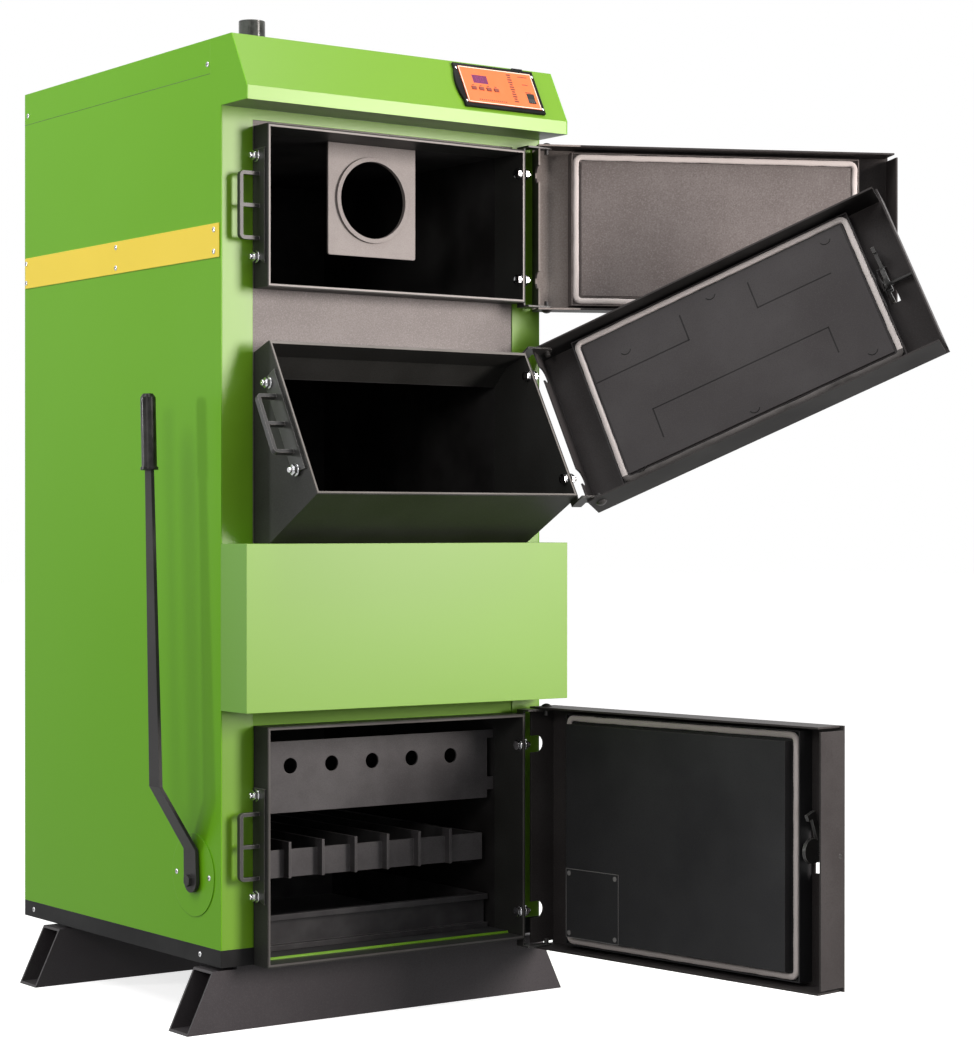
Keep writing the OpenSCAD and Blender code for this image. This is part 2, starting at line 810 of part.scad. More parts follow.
module upper_collar() {
  top = [upper_mouth_z, upper_mouth_top];
  color("dimgray") place() difference() {
    block([-mouth_x, mouth_x], [collar_y, jacket_d], top);
    block([-throat_x, throat_x], [collar_y - 1, jacket_d + 1],
      [top[0] + inner_wall, top[1] - inner_wall]);
    collar_bolt_holes(upper_mouth_h, upper_bolt_inset, upper_latch_rise, collar_y, upper_mouth_z);
  }
}

module lower_collar() {
  color("dimgray") place() difference() {
    union() {
      block([-mouth_x, mouth_x], [collar_y, plate_y], [lower_floor, lower_mouth_top]);
      block([-mouth_x, mouth_x], [plate_y, jacket_d], [floor_z, lower_mouth_top]);
    }
    block([-throat_x, throat_x], [collar_y - 1, plate_y],
      [lower_floor + inner_wall, lower_mouth_top - inner_wall]);
    block([-throat_x, throat_x], [plate_y - 1, jacket_d + 1],
      [floor_z - 1, lower_mouth_top - inner_wall]);
    collar_bolt_holes(lower_mouth_h, lower_bolt_inset, lower_latch_rise, collar_y, lower_mouth_z);
  }
}

module loading_chute() {
  color("dimgray") place() difference() {
    profile_x([-mouth_x, mouth_x]) chute_outline();
    profile_x([-throat_x, throat_x]) chute_inside();
    at_middle_mouth() bolt_rods(chute_mouth_h, middle_bolt_inset, middle_latch_rise, bolt_d);
  }
}

module flue_plate() {
  y = [jacket_d + inner_wall, jacket_d + inner_wall + plate_t];
  top = upper_mouth_top - inner_wall;
  low = top - flue_plate_h;
  corner = flue_corner;
  ring_z = top - flue_ring_drop;
  color("lightgray") place() difference() {
    union() {
      block([-flue_plate_w / 2, flue_plate_w / 2], y, [low + corner, top]);
      block([-flue_plate_w / 2 + corner, flue_plate_w / 2 - corner], y, [low, low + corner + 1]);
      for (side = [-1, 1])
        rod_y(side * (flue_plate_w / 2 - corner), y, low + corner, 2 * corner);
      rod_y(0, [y[0] - plate_t, y[1]], ring_z, flue_ring_d + 2 * flue_ring_w);
    }
    rod_y(0, [y[0] - plate_t - 1, y[1] + 1], ring_z, flue_ring_d);
  }
}

module air_plate() {
  y = [jacket_d + inner_wall, jacket_d + inner_wall + plate_t];
  tab_z = air_plate_z + air_tab_inset;
  top = air_plate_z + air_plate_h;
  color("gainsboro") place() difference() {
    union() {
      block([-air_plate_x, air_plate_x], y, [air_plate_z, top]);
      block([-throat_x, throat_x], y, [top - air_tab_inset, top]);
      block([-throat_x, throat_x], y, [tab_z, tab_z + air_tab_h]);
    }
    for (i = [-2:2])
      rod_y(i * air_hole_pitch, [y[0] - 1, y[1] + 1], top - air_hole_drop, air_hole_d);
  }
}

module grate_bearers() {
  start = lever_y + crank_r;
  deep = grate_side + bearer_lap;
  color("dimgray") place() for (side = [-1, 1])
    block(side < 0 ? [-throat_x, -throat_x + deep] : [throat_x - deep, throat_x],
      [start, chamber_in], [grate_z - bearer_h, grate_z - run_gap]);
}

module flue_spigot() {
  end = casing_d + flue_reach;
  color("gray") place() difference() {
    union() {
      rod_y(0, [chamber_back, end], flue_z, flue_d);
      rod_y(0, [end - flue_end_l - flue_bead, end - flue_end_l], flue_z, flue_d + 2 * flue_bead);
    }
    rod_y(0, [chamber_back - 1, end + 1], flue_z, flue_d - 2 * flue_wall);
  }
}

// A pipe stub along +Z from its root, with a threaded end
module stub(length) {
  difference() {
    union() {
      cylinder(d = stub_d, h = length - thread_l);
      cylinder(d = thread_d, h = length);
    }
    translate([0, 0, -1]) cylinder(d = stub_d - 2 * stub_wall, h = length + 2);
  }
}

module supply_stub() {
  root = shell_top - shell_wall;
  color("gray") place() translate([0, supply_y, root]) stub(casing_h + supply_rise - root);
}

module return_stub() {
  root = shell_back - shell_wall;
  color("gray") place() translate([0, root, return_z]) rotate([-90, 0, 0])
    stub(casing_d + return_reach - root);
}

module drain_socket() {
  y = [shell_back - shell_wall, casing_d + return_reach / 2];
  color("gray") place() difference() {
    rod_y(drain_x, y, drain_z, drain_d);
    rod_y(drain_x, [y[0] - 1, y[1] + 1], drain_z, drain_d - 6);
  }
}

// Control panel

module box_hole() {
  block([panel_x + box_margin - fit_gap, panel_x + panel_w - box_margin + fit_gap],
    [-bezel_t, 3 * sheet_t],
    [-(panel_drop + panel_h - box_margin + fit_gap), -(panel_drop + box_margin - fit_gap)]);
}

module key_rods(gap) {
  for (i = [0:3])
    block([key_x + i * key_pitch - key_w / 2 - gap, key_x + i * key_pitch + key_w / 2 + gap],
      [-bezel_t - face_t - 1, 0], [key_z - key_h / 2 - gap, key_z + key_h / 2 + gap]);
}

module rocker_well(gap) {
  block([rocker_x - rocker_w / 2 - gap, rocker_x + rocker_w / 2 + gap],
    [-bezel_t - face_t - 1, 8], [rocker_z - rocker_h / 2 - gap, rocker_z + rocker_h / 2 + gap]);
}

module controller_housing() {
  z = [-(panel_drop + panel_h), -panel_drop];
  round_r = panel_h / 2;
  color("dimgray") place() at_hood_face() difference() {
    union() {
      block([panel_x + 6, panel_x + panel_w], [-bezel_t, 0], z);
      intersection() {
        rod_y(panel_x + 2 * round_r, [-bezel_t, 0], face_z, 4 * round_r);
        block([panel_x, panel_x + 20], [-bezel_t, 0], z);
      }
      block([panel_x + box_margin, panel_x + panel_w - box_margin], [0, box_depth],
        [z[0] + box_margin, z[1] - box_margin]);
      block([panel_x + panel_w - 42, panel_x + panel_w - 20], [-bezel_t, 0], [z[1], z[1] + 3]);
    }
    translate([0, 0.01, 0]) key_rods(run_gap);
    rocker_well(run_gap);
    block([panel_x + box_margin + 3, panel_x + panel_w - box_margin - 3], [4 + 8, box_depth - 3],
      [z[0] + box_margin + 3, z[1] - box_margin - 3]);
  }
}

module controller_plate() {
  z = [-(panel_drop + panel_h - face_margin), -(panel_drop + face_margin)];
  color("darkorange") place() at_hood_face() difference() {
    block([panel_x + face_margin + 6, panel_x + panel_w - face_margin],
      [-bezel_t - face_t, -bezel_t], z);
    block([display_x - display_w / 2, display_x + display_w / 2], [-bezel_t - face_t - 1, 0],
      [display_z - display_h / 2, display_z + display_h / 2]);
    key_rods(run_gap);
    rocker_well(run_gap);
  }
}

module display_window() {
  color("mediumpurple") place() at_hood_face()
    block([display_x - display_w / 2, display_x + display_w / 2],
      [-bezel_t - face_t + 0.2, -bezel_t],
      [display_z - display_h / 2, display_z + display_h / 2]);
}

module button(i) {
  x = key_x + i * key_pitch;
  color("gainsboro") place() at_hood_face()
    block([x - key_w / 2, x + key_w / 2], [-bezel_t - face_t - key_out, -key_out],
      [key_z - key_h / 2, key_z + key_h / 2]);
}

module button_1() {
  button(0);
}

module button_2() {
  button(1);
}

module button_3() {
  button(2);
}

module button_4() {
  button(3);
}

module rocker_switch() {
  depth = 3;
  out = -bezel_t - face_t;
  h = rocker_h / 2 - 0.8;
  color("black") place() at_hood_face()
    profile_x([rocker_x - rocker_w / 2, rocker_x + rocker_w / 2]) polygon([
      [out + depth, rocker_z - h], [out + depth, rocker_z + h], [out - 1, rocker_z + h],
      [out + 0.8, rocker_z], [out - 1, rocker_z - h]
    ]);
}

// Side band and screws
module side_band() {
  color("gold") place()
    block([-casing_x - band_t, -casing_x], [band_margin, casing_d - band_margin],
      [band_z, band_z + band_h]);
}

module screw_heads(x, y, z, side) {
  start = side < 0 ? x - screw_h : x;
  rod_x([start, start + screw_h], y, z, screw_d);
}

module casing_screws() {
  band_x = -casing_x - band_t;
  color("lightgray") place() {
    for (y = [20.4, casing_d / 2, casing_d - 9])
      for (z = [band_z + screw_low_inset, band_z + band_h - screw_low_inset])
        screw_heads(band_x, y, z, -1);
    for (side = [-1, 1]) {
      for (y = [roof_start + 8, casing_d - 13])
        screw_heads(side * casing_x, y, roof_flange_z + 16, side);
      for (y = [67, casing_d - 37])
        screw_heads(side * casing_x, y, tray_z + tray_h / 2, side);
    }
    for (y = [-1, 1])
      screw_heads(-casing_x - lever_cover_t, lever_y + 5 + y * (lever_cover_r - 15),
        lever_z + 8, -1);
  }
}

// Doors, each drawn in its own mouth frame
module hinge_flange_notch(z) {
  r = notch_h / 2;
  x = [door_x - door_t - 1, door_x + 1];
  y = flange_end - notch_depth + r;
  rod_x(x, y, z, notch_h);
  block(x, [y, flange_end + 1], [z - r, z + r]);
}

module door_tray(h, bolt_inset, latch_rise) {
  z = [-door_lap, h + door_lap];
  y = [-door_front, flange_end];
  latch_z = h / 2 + latch_rise;
  bracket_x = [-mouth_x - channel_wall - 7, -mouth_x - channel_wall - 4];
  difference() {
    union() {
      block([-door_x, door_x], [y[0], y[0] + door_t], z);
      for (end = [z[0], z[1] - door_t])
        block([-door_x + flange_inset, door_x], y, [end, end + door_t]);
      for (edge = [-door_x, door_x - door_t])
        block([edge, edge + door_t], y, [z[0] + corner_relief, z[1] - corner_relief]);
      block(bracket_x, [-tray_inside - eps, -axle_out + 12], [latch_z - 14, latch_z + 14]);
    }
    translate([hinge_x, 0, z[0] - 1])
      cylinder(d = hinge_pin_d + 2 * run_gap, h = z[1] - z[0] + 2);
    for (end = [z[0] + bolt_inset, z[1] - bolt_inset]) hinge_flange_notch(end);
    block([-hook_x - hook_t / 2 - 4, -hook_x + hook_t / 2 + 8], [y[0] - 1, y[0] + door_t + 1],
      [latch_z - 33, latch_z + 37]);
    rod_x([-door_x - 1, -mouth_x], -axle_out, latch_z, axle_d + 2 * run_gap);
  }
}

module ring(x, y, z, w) {
  difference() {
    block([-x, x], y, z);
    block([-x + w, x - w], [y[0] - 1, y[1] + 1], [z[0] + w, z[1] - w]);
  }
}

module door_liner(h, plate_gap, reach) {
  grow = liner_x - mouth_x;
  z = [-grow, h + grow];
  face = -rope_gap - rope_t;
  step = channel_wall + rope_w;
  inset = step + plate_gap;
  ring(liner_x, [-tray_inside, -2.5], z, channel_wall);
  block([-liner_x + channel_wall - eps, liner_x - channel_wall + eps],
    [face - channel_wall, face], [z[0] + channel_wall - eps, z[1] - channel_wall + eps]);
  block([-liner_x + step, liner_x - step], [face - eps, -4], [z[0] + step, z[1] - step]);
  block([-liner_x + inset, liner_x - inset], [-4 - eps, reach], [z[0] + inset, z[1] - inset]);
}

module door_rope(h) {
  x = rope_out_x;
  z = [rope_edge, h - rope_edge];
  ring(x, [-rope_gap - rope_t, -rope_gap], z, rope_w);
}

// Latch, drawn about its axle: first along Y and Z from the axle

module hook_outline() {
  lift = catch_bar / 2 + 1.5;
  circle(r = 14);
  translate([9, -11]) circle(r = 20);
  translate([0, lift]) square([hook_back + 10, 11]);
  translate([hook_back, -5]) square([10, 12 + lift]);
}

module at_axle(h, latch_rise) {
  translate([0, -axle_out, h / 2 + latch_rise]) children();
}

module latch_hook(h, latch_rise) {
  at_axle(h, latch_rise) difference() {
    rotate([latch_turn, 0, 0])
      profile_x([-hook_x - hook_t / 2, -hook_x + hook_t / 2]) hook_outline();
    rod_x([-hook_x - hook_t, -hook_x + hook_t], 0, 0, axle_d + 0.2);
  }
}

module latch_handle(h, latch_rise) {
  bar = [-hook_x + hook_t / 2, -hook_x + hook_t / 2 + 4];
  mid = (bar[0] + bar[1]) / 2;
  knee = [-grip_out, -16];
  at_axle(h, latch_rise) {
    rod_x([-door_x + 0.4, -mouth_x - channel_wall - 3], 0, 0, axle_d);
    profile_x(bar) {
      circle(r = 10);
      link([0, 0], knee, 12, 12);
      link(knee, [-grip_out, -40], 12, 12);
    }
    translate([mid, -grip_out, -38 - grip_l]) {
      cylinder(d = grip_d, h = grip_l);
      sphere(d = grip_d);
    }
    translate([mid, -grip_out, -38 - eps]) cylinder(d1 = grip_d, d2 = 12, h = 8);
  }
}

// A flat link between two points, with round ends
module link(from, to, w0, w1) {
  along = to - from;
  len = norm(along);
  turn = atan2(along[1], along[0]);
  translate(from) rotate(turn)
    polygon([[0, -w0 / 2], [len, -w1 / 2], [len, w1 / 2], [0, w0 / 2]]);
  translate(from) circle(d = w0 + 0.4);
  translate(to) circle(d = w1 + 0.4);
}

// Catches, hinge brackets and their bolts

module bolt_rods(h, bolt_inset, latch_rise, d) {
  for (z = [bolt_inset - door_lap, h + door_lap - bolt_inset])
    rod_x([throat_x - 1, mouth_x + 1], bolt_y, z, d + bolt_fit);
  for (side = [-1, 1])
    rod_x([-mouth_x - 1, -throat_x + 1], catch_bolt_y,
      h / 2 + latch_rise + side * catch_bolt_pitch / 2, d + bolt_fit);
}

module collar_bolt_holes(h, bolt_inset, latch_rise, y, z) {
  translate([0, y, z]) bolt_rods(h, bolt_inset, latch_rise, bolt_d);
}

// A block whose two outer corners are rounded
module catch_loop(x, y, z, r) {
  translate([0, y[1], 0]) rotate([90, 0, 0]) linear_extrude(y[1] - y[0]) {
    translate([x[0] + r, z[0]]) square([x[1] - x[0] - r, z[1] - z[0]]);
    translate([x[0], z[0] + r]) square([r + eps, z[1] - z[0] - 2 * r]);
    for (corner = [z[0] + r, z[1] - r]) translate([x[0] + r, corner]) circle(r = r);
  }
}

module catch(h, latch_rise) {
  z = h / 2 + latch_rise;
  plate_x = [-mouth_x - bracket_t, -mouth_x];
  out = -mouth_x - catch_reach;
  y = [catch_back, catch_back + catch_d];
  half = catch_pitch + catch_bar / 2;
  rear = catch_bolt_y + catch_edge;
  difference() {
    profile_x(plate_x) polygon([
      [6, z - catch_plate_h / 2], [rear, z - catch_plate_h / 2 + 14],
      [rear, z + catch_plate_h / 2], [6, z + catch_plate_h / 2]
    ]);
    for (side = [-1, 1])
      rod_x([plate_x[0] - 1, plate_x[1] + 1], catch_bolt_y, z + side * catch_bolt_pitch / 2,
        bolt_d + bolt_fit);
  }
  difference() {
    catch_loop([out, plate_x[0] + eps], y, [z - half, z + half], catch_round);
    catch_loop([out + catch_bar, plate_x[0] + 1], [y[0] - 1, y[1] + 1],
      [z - half + catch_bar, z + half - catch_bar], catch_round - catch_bar);
  }
  block([out + 1, plate_x[0] + eps], y, [z - catch_bar / 2, z + catch_bar / 2]);
}

module hinge_bracket(h, bolt_inset) {
  z = [-door_lap, h + door_lap];
  gap = (corner_relief - door_t - lug_t) / 2;
  lug_low = z[0] + door_t + gap;
  lug_high = z[1] - door_t - gap - lug_t;
  plate_x = [mouth_x, mouth_x + bracket_t];
  difference() {
    union() {
      block(plate_x, [4, 24], [lug_low, lug_high + lug_t]);
      for (lug = [lug_low, lug_high]) translate([0, 0, lug]) linear_extrude(lug_t) {
        translate([mouth_x, 4]) square([20, 20]);
        translate([mouth_x, -lug_r]) square([hinge_x - mouth_x, 2 * lug_r]);
        translate([hinge_x, 0]) circle(r = lug_r);
      }
    }
    translate([hinge_x, 0, z[0]]) cylinder(d = hinge_pin_d, h = z[1] - z[0]);
    for (end = [z[0] + bolt_inset, z[1] - bolt_inset])
      rod_x([plate_x[0] - 1, plate_x[1] + 1], bolt_y, end, bolt_d + bolt_fit);
  }
}

// A bolt through a mouth's side wall, its head inside and its nut outside
module bolt_x(side, y, z) {
  grip = inner_wall + bracket_t;
  translate([side * throat_x, y, z]) rotate([0, side * 90, 0]) {
    cylinder(d = bolt_d, h = grip + bolt_nut + bolt_end);
    translate([0, 0, -bolt_head]) cylinder(d = bolt_af / cos(30), h = bolt_head, $fn = 6);
    translate([0, 0, grip]) cylinder(d = bolt_af / cos(30), h = bolt_nut, $fn = 6);
  }
}

module mouth_bolts(h, bolt_inset, latch_rise) {
  for (z = [bolt_inset - door_lap, h + door_lap - bolt_inset])
    bolt_x(1, bolt_y, z);
  for (end = [-1, 1])
    bolt_x(-1, catch_bolt_y, h / 2 + latch_rise + end * catch_bolt_pitch / 2);
}

module mouth_pins(h) {
  z = [-door_lap, h + door_lap];
  head = 19;
  shank = door_t + corner_relief + 5;
  for (end = [0, 1])
    translate([hinge_x, 0, z[end]]) mirror([0, 0, end == 0 ? 1 : 0]) {
      translate([0, 0, -shank]) cylinder(d = hinge_pin_d, h = shank + run_gap + 1);
      translate([0, 0, run_gap]) intersection() {
        cylinder(d = head, h = 5);
        translate([0, 0, -7]) sphere(r = 12);
      }
    }
}

module door_catches() {
  color("dimgray") place() {
    at_upper_mouth() catch(upper_mouth_h, upper_latch_rise);
    at_middle_mouth() catch(chute_mouth_h, middle_latch_rise);
    at_lower_mouth() catch(lower_mouth_h, lower_latch_rise);
  }
}

module hinge_brackets() {
  color("dimgray") place() {
    at_upper_mouth() hinge_bracket(upper_mouth_h, upper_bolt_inset);
    at_middle_mouth() hinge_bracket(chute_mouth_h, middle_bolt_inset);
    at_lower_mouth() hinge_bracket(lower_mouth_h, lower_bolt_inset);
  }
}

module bracket_bolts() {
  color("silver") place() {
    at_upper_mouth() mouth_bolts(upper_mouth_h, upper_bolt_inset, upper_latch_rise);
    at_middle_mouth() mouth_bolts(chute_mouth_h, middle_bolt_inset, middle_latch_rise);
    at_lower_mouth() mouth_bolts(lower_mouth_h, lower_bolt_inset, lower_latch_rise);
  }
}

module hinge_pins() {
  color("silver") place() {
    at_upper_mouth() mouth_pins(upper_mouth_h);
    at_middle_mouth() mouth_pins(chute_mouth_h);
    at_lower_mouth() mouth_pins(lower_mouth_h);
  }
}

module upper_door_tray() {
  color("dimgray") place() at_upper_mouth() swing(upper_open)
    door_tray(upper_mouth_h, upper_bolt_inset, upper_latch_rise);
}

module upper_door_liner() {
  color("gray") place() at_upper_mouth() swing(upper_open)
    door_liner(upper_mouth_h, plate_step, -1);
}

module upper_door_rope() {
  color("silver") place() at_upper_mouth() swing(upper_open) door_rope(upper_mouth_h);
}

module upper_handle() {
  color("black") place() at_upper_mouth() swing(upper_open)
    latch_handle(upper_mouth_h, upper_latch_rise);
}

module upper_hook() {
  color("lightgray") place() at_upper_mouth() swing(upper_open)
    latch_hook(upper_mouth_h, upper_latch_rise);
}

module middle_door_tray() {
  color("dimgray") place() at_middle_mouth() swing(middle_open)
    door_tray(chute_mouth_h, middle_bolt_inset, middle_latch_rise);
}

// A groove pressed into the middle door's plate between two points
module groove(from, to) {
  r = groove_w / 2;
  block([min(from[0], to[0]) - r, max(from[0], to[0]) + r], [-1 - groove_depth, 0],
    [min(from[1], to[1]) - r, max(from[1], to[1]) + r]);
}

// A bend of two grooves, from one end through the corner to the other end
module groove_bend(corner, side_end, down_end) {
  groove([side_end, corner[1]], corner);
  groove(corner, [corner[0], down_end]);
}

module middle_door_liner() {
  edge = liner_x - channel_wall - rope_w - plate_step;
  high = chute_mouth_h - 91;
  low = chute_mouth_h - 180;
  color("black") place() at_middle_mouth() swing(middle_open) difference() {
    door_liner(chute_mouth_h, plate_step, -1);
    groove_bend([66, high], edge + 1, chute_mouth_h - 42);
    groove_bend([-62, high], -196, chute_mouth_h - 41);
    groove_bend([166, low], -158, chute_mouth_h - 235);
    groove([-158, low], [-158, chute_mouth_h - 229]);
  }
}

module middle_door_rope() {
  color("silver") place() at_middle_mouth() swing(middle_open) door_rope(chute_mouth_h);
}

module middle_handle() {
  color("black") place() at_middle_mouth() swing(middle_open)
    latch_handle(chute_mouth_h, middle_latch_rise);
}

module middle_hook() {
  color("lightgray") place() at_middle_mouth() swing(middle_open)
    latch_hook(chute_mouth_h, middle_latch_rise);
}

module lower_door_tray() {
  color("dimgray") place() at_lower_mouth() swing(lower_open)
    door_tray(lower_mouth_h, lower_bolt_inset, lower_latch_rise);
}

module lower_door_liner() {
  edge = channel_wall + rope_w + lower_plate_step;
  x = [liner_x - edge - patch_w, liner_x - edge];
  face = lower_plate_reach;
  low = mouth_x - liner_x + edge;
  z = [low, low + patch_h];
  color("black") place() at_lower_mouth() swing(lower_open) {
    door_liner(lower_mouth_h, lower_plate_step, face);
    block(x, [face - eps, face + 1], z);
    for (rx = [x[0] + patch_rivet, x[1] - patch_rivet])
      for (rz = [z[0] + patch_rivet, z[1] - patch_rivet])
        rod_y(rx, [face + 1 - eps, face + 2], rz, 9);
  }
}

module lower_door_rope() {
  color("silver") place() at_lower_mouth() swing(lower_open) door_rope(lower_mouth_h);
}

module lower_handle() {
  color("black") place() at_lower_mouth() swing(lower_open)
    latch_handle(lower_mouth_h, lower_latch_rise);
}

module lower_hook() {
  color("lightgray") place() at_lower_mouth() swing(lower_open)
    latch_hook(lower_mouth_h, lower_latch_rise);
}

// Fire parts that move
module rocking_grate() {
  z = [grate_z, grate_z + grate_bar_h];
  x = grate_x;
  first = -(fin_n - 1) / 2 * fin_pitch;
  plate = 5;
  slot = crank_pin_d + 1.4;
  color("dimgray") place() difference() {
    union() {
      for (y = [grate_y, grate_y + grate_l - grate_bar_t])
        block([-x, x], [y, y + grate_bar_t], z);
      for (i = [0:fin_n - 1])
        block([first + i * fin_pitch - fin_t / 2, first + i * fin_pitch + fin_t / 2],
          [grate_y - fin_lead, grate_y + grate_l], [grate_z, grate_z + fin_h]);
      for (side = [-1, 1])
        block(side < 0 ? [-x, -x + plate] : [x - plate, x],
          [grate_y, grate_y + grate_l], [grate_z, grate_z + grate_bar_h]);
    }
    block([-x - 1, -x + plate + 1], [lever_y - slot / 2, lever_y + slot / 2],
      [lever_z + crank_r - 8, lever_z + crank_r + 7]);
    rod_x([-x - 1, -x + plate + 1], lever_y, lever_z, lever_shaft_d + 8);
  }
}

module ash_pan() {
  x = pan_x;
  low = floor_z + run_gap;
  y = [pan_y, pan_y + pan_l];
  color("dimgray") place() {
    difference() {
      block([-x, x], y, [low, low + pan_h]);
      block([-x + pan_t, x - pan_t], [y[0] + pan_t, y[1] - pan_t], [low + pan_t, low + pan_h + 1]);
    }
    for (z = [low, low + pan_h - pan_lip])
      block([-x, x], [y[0] - pan_lip_d, y[0] + eps], [z, z + pan_lip]);
  }
}

// Shaker lever

// The bar's edge-on path: flat at the pivot, then cranked clear of the casing
module lever_path() {
  low = lever_x - lever_t;
  out = lever_x - lever_offset;
  far = out - lever_t;
  bend = [lever_z + joggle_low, lever_z + joggle_high];
  end = lever_z + lever_h + tang_l + tang_w;
  polygon([
    [lever_x, lever_z - lever_foot_w], [lever_x, bend[0]], [out, bend[1]], [out, end],
    [far, end], [far, bend[1]], [low, bend[0]], [low, lever_z - lever_foot_w]
  ]);
}

module shaker_lever() {
  crank_x = [-throat_x + 3, -throat_x + 9];
  pivot = [lever_y, lever_z];
  color("dimgray") place() {
    intersection() {
      profile_x([lever_x - lever_offset - 2 * lever_t, lever_x + 1]) {
        link(pivot, lever_bend, lever_foot_w, lever_w);
        link(lever_bend, lever_top, lever_w, lever_top_w);
        link(lever_top, lever_top + tang_l * [sin(grip_tilt), cos(grip_tilt)], tang_w, tang_w);
      }
      translate([0, lever_y + casing_d, 0]) rotate([90, 0, 0])
        linear_extrude(2 * casing_d) lever_path();
    }
    rod_x([lever_x - eps, crank_x[1]], lever_y, lever_z, lever_shaft_d);
    profile_x(crank_x) link(pivot, pivot + [0, crank_r], 22, 16);
    rod_x([crank_x[1] - eps, -grate_x + 5], lever_y, lever_z + crank_r, crank_pin_d);
    hex_x([lever_x - lever_t - 7, lever_x - lever_t + eps], lever_y, lever_z, 17);
  }
}

module lever_grip() {
  mid_x = lever_x - lever_offset - lever_t / 2;
  slot_x = [mid_x - lever_t / 2 - 0.1, mid_x + lever_t / 2 + 0.1];
  bar_half = lever_top_w / 2 + 0.8;
  tang_half = tang_w / 2 + 0.4;
  color("black") place() translate([0, lever_top[0], lever_top[1]]) rotate([-grip_tilt, 0, 0])
    difference() {
      translate([mid_x, 0, 0]) {
        cylinder(d = lever_grip_d, h = lever_grip_l - 6);
        translate([0, 0, lever_grip_l - 6 - eps])
          cylinder(d1 = lever_grip_d, d2 = lever_grip_d - 8, h = 6);
        translate([0, 0, -5]) cylinder(d = lever_grip_d + 4, h = 5 + eps);
      }
      block(slot_x, [-bar_half, bar_half], [-6, bar_half]);
      block(slot_x, [-tang_half, tang_half], [0, tang_l + tang_half]);
    }
}

module lever_cover() {
  x = [-casing_x - lever_cover_t, -casing_x];
  color(green) place() difference() {
    rod_x(x, lever_y + 5, lever_z + 8, 2 * lever_cover_r);
    rod_x([x[0] - 1, x[1] + 1], lever_y, lever_z, lever_shaft_d + 2 * run_gap);
  }
}

// Blower behind the fascia

module blower_housing() {
  wall = sheet_t;
  y = [plate_y - blower_depth, plate_y];
  color("silver") place() {
    difference() {
      rod_y(0, y, blower_z, blower_d);
      rod_y(0, [y[0] + wall, y[1] - wall], blower_z, blower_d - 2 * wall);
      for (i = [0:7])
        rod_y((motor_d / 2 + 12) * cos(i * 45), [y[0] - 1, y[0] + wall + 1],
          blower_z + (motor_d / 2 + 12) * sin(i * 45), 16);
      rod_y(0, [y[0] - 1, y[0] + wall + 1], blower_z, 12);
      rod_y(0, [y[1] - wall - 1, y[1] + 1], tube_z, air_tube_d);
    }
    difference() {
      rod_y(0, [y[1] - wall / 2, jacket_d + inner_wall], tube_z, air_tube_d + 2 * wall);
      rod_y(0, [y[1] - wall - 1, jacket_d + inner_wall + 1], tube_z, air_tube_d);
    }
  }
}

module blower_motor() {
  front = plate_y - blower_depth;
  color("black") place() {
    rod_y(0, [front - motor_l, front], blower_z, motor_d);
    rod_y(0, [front - eps, wheel_y[1]], blower_z, 8);
  }
}

module blower_wheel() {
  color("gray") place() difference() {
    union() {
      rod_y(0, [wheel_y[1] - 2, wheel_y[1]], blower_z, wheel_d);
      rod_y(0, [wheel_y[0] + 4, wheel_y[1]], blower_z, 22);
      rod_y_ring([wheel_y[0], wheel_y[0] + 2]);
      for (i = [0:blade_n - 1])
        translate([0, 0, blower_z]) rotate([0, i * 360 / blade_n, 0])
          translate([wheel_d / 2 - 9, wheel_y[0], 0]) rotate([0, 30, 0])
            translate([-7, 0, -0.75]) cube([14, wheel_y[1] - wheel_y[0] - 1, 1.5]);
    }
    rod_y(0, [wheel_y[0] - 1, wheel_y[1] + 1], blower_z, 8 + 2 * run_gap);
  }
}

module rod_y_ring(y) {
  difference() {
    rod_y(0, y, blower_z, wheel_d);
    rod_y(0, [y[0] - 1, y[1] + 1], blower_z, wheel_d - 32);
  }
}

front_foot();
rear_foot();
base_tray();
left_panel();
right_panel();
rear_panel();
front_frame();
roof_cover();
hood();
fascia_cover();
insulation();
boiler_shell();
fuel_chamber();
flue_plate();
flue_spigot();
upper_collar();
loading_chute();
lower_collar();
air_plate();
grate_bearers();
controller_housing();
controller_plate();
display_window();
side_band();
supply_stub();
return_stub();
drain_socket();
door_catches();
hinge_brackets();
bracket_bolts();
hinge_pins();
lever_cover();
casing_screws();
blower_housing();
blower_motor();
blower_wheel();
rocking_grate();
ash_pan();
shaker_lever();
lever_grip();
rocker_switch();
button_1();
button_2();
button_3();
button_4();
upper_door_tray();
upper_door_liner();
upper_door_rope();
upper_handle();
upper_hook();
middle_door_tray();
middle_door_liner();
middle_door_rope();
middle_handle();
middle_hook();
lower_door_tray();
lower_door_liner();
lower_door_rope();
lower_handle();
lower_hook();
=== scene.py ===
"""Finishes, gasket ropes and small fittings of a coal boiler with its three doors open."""

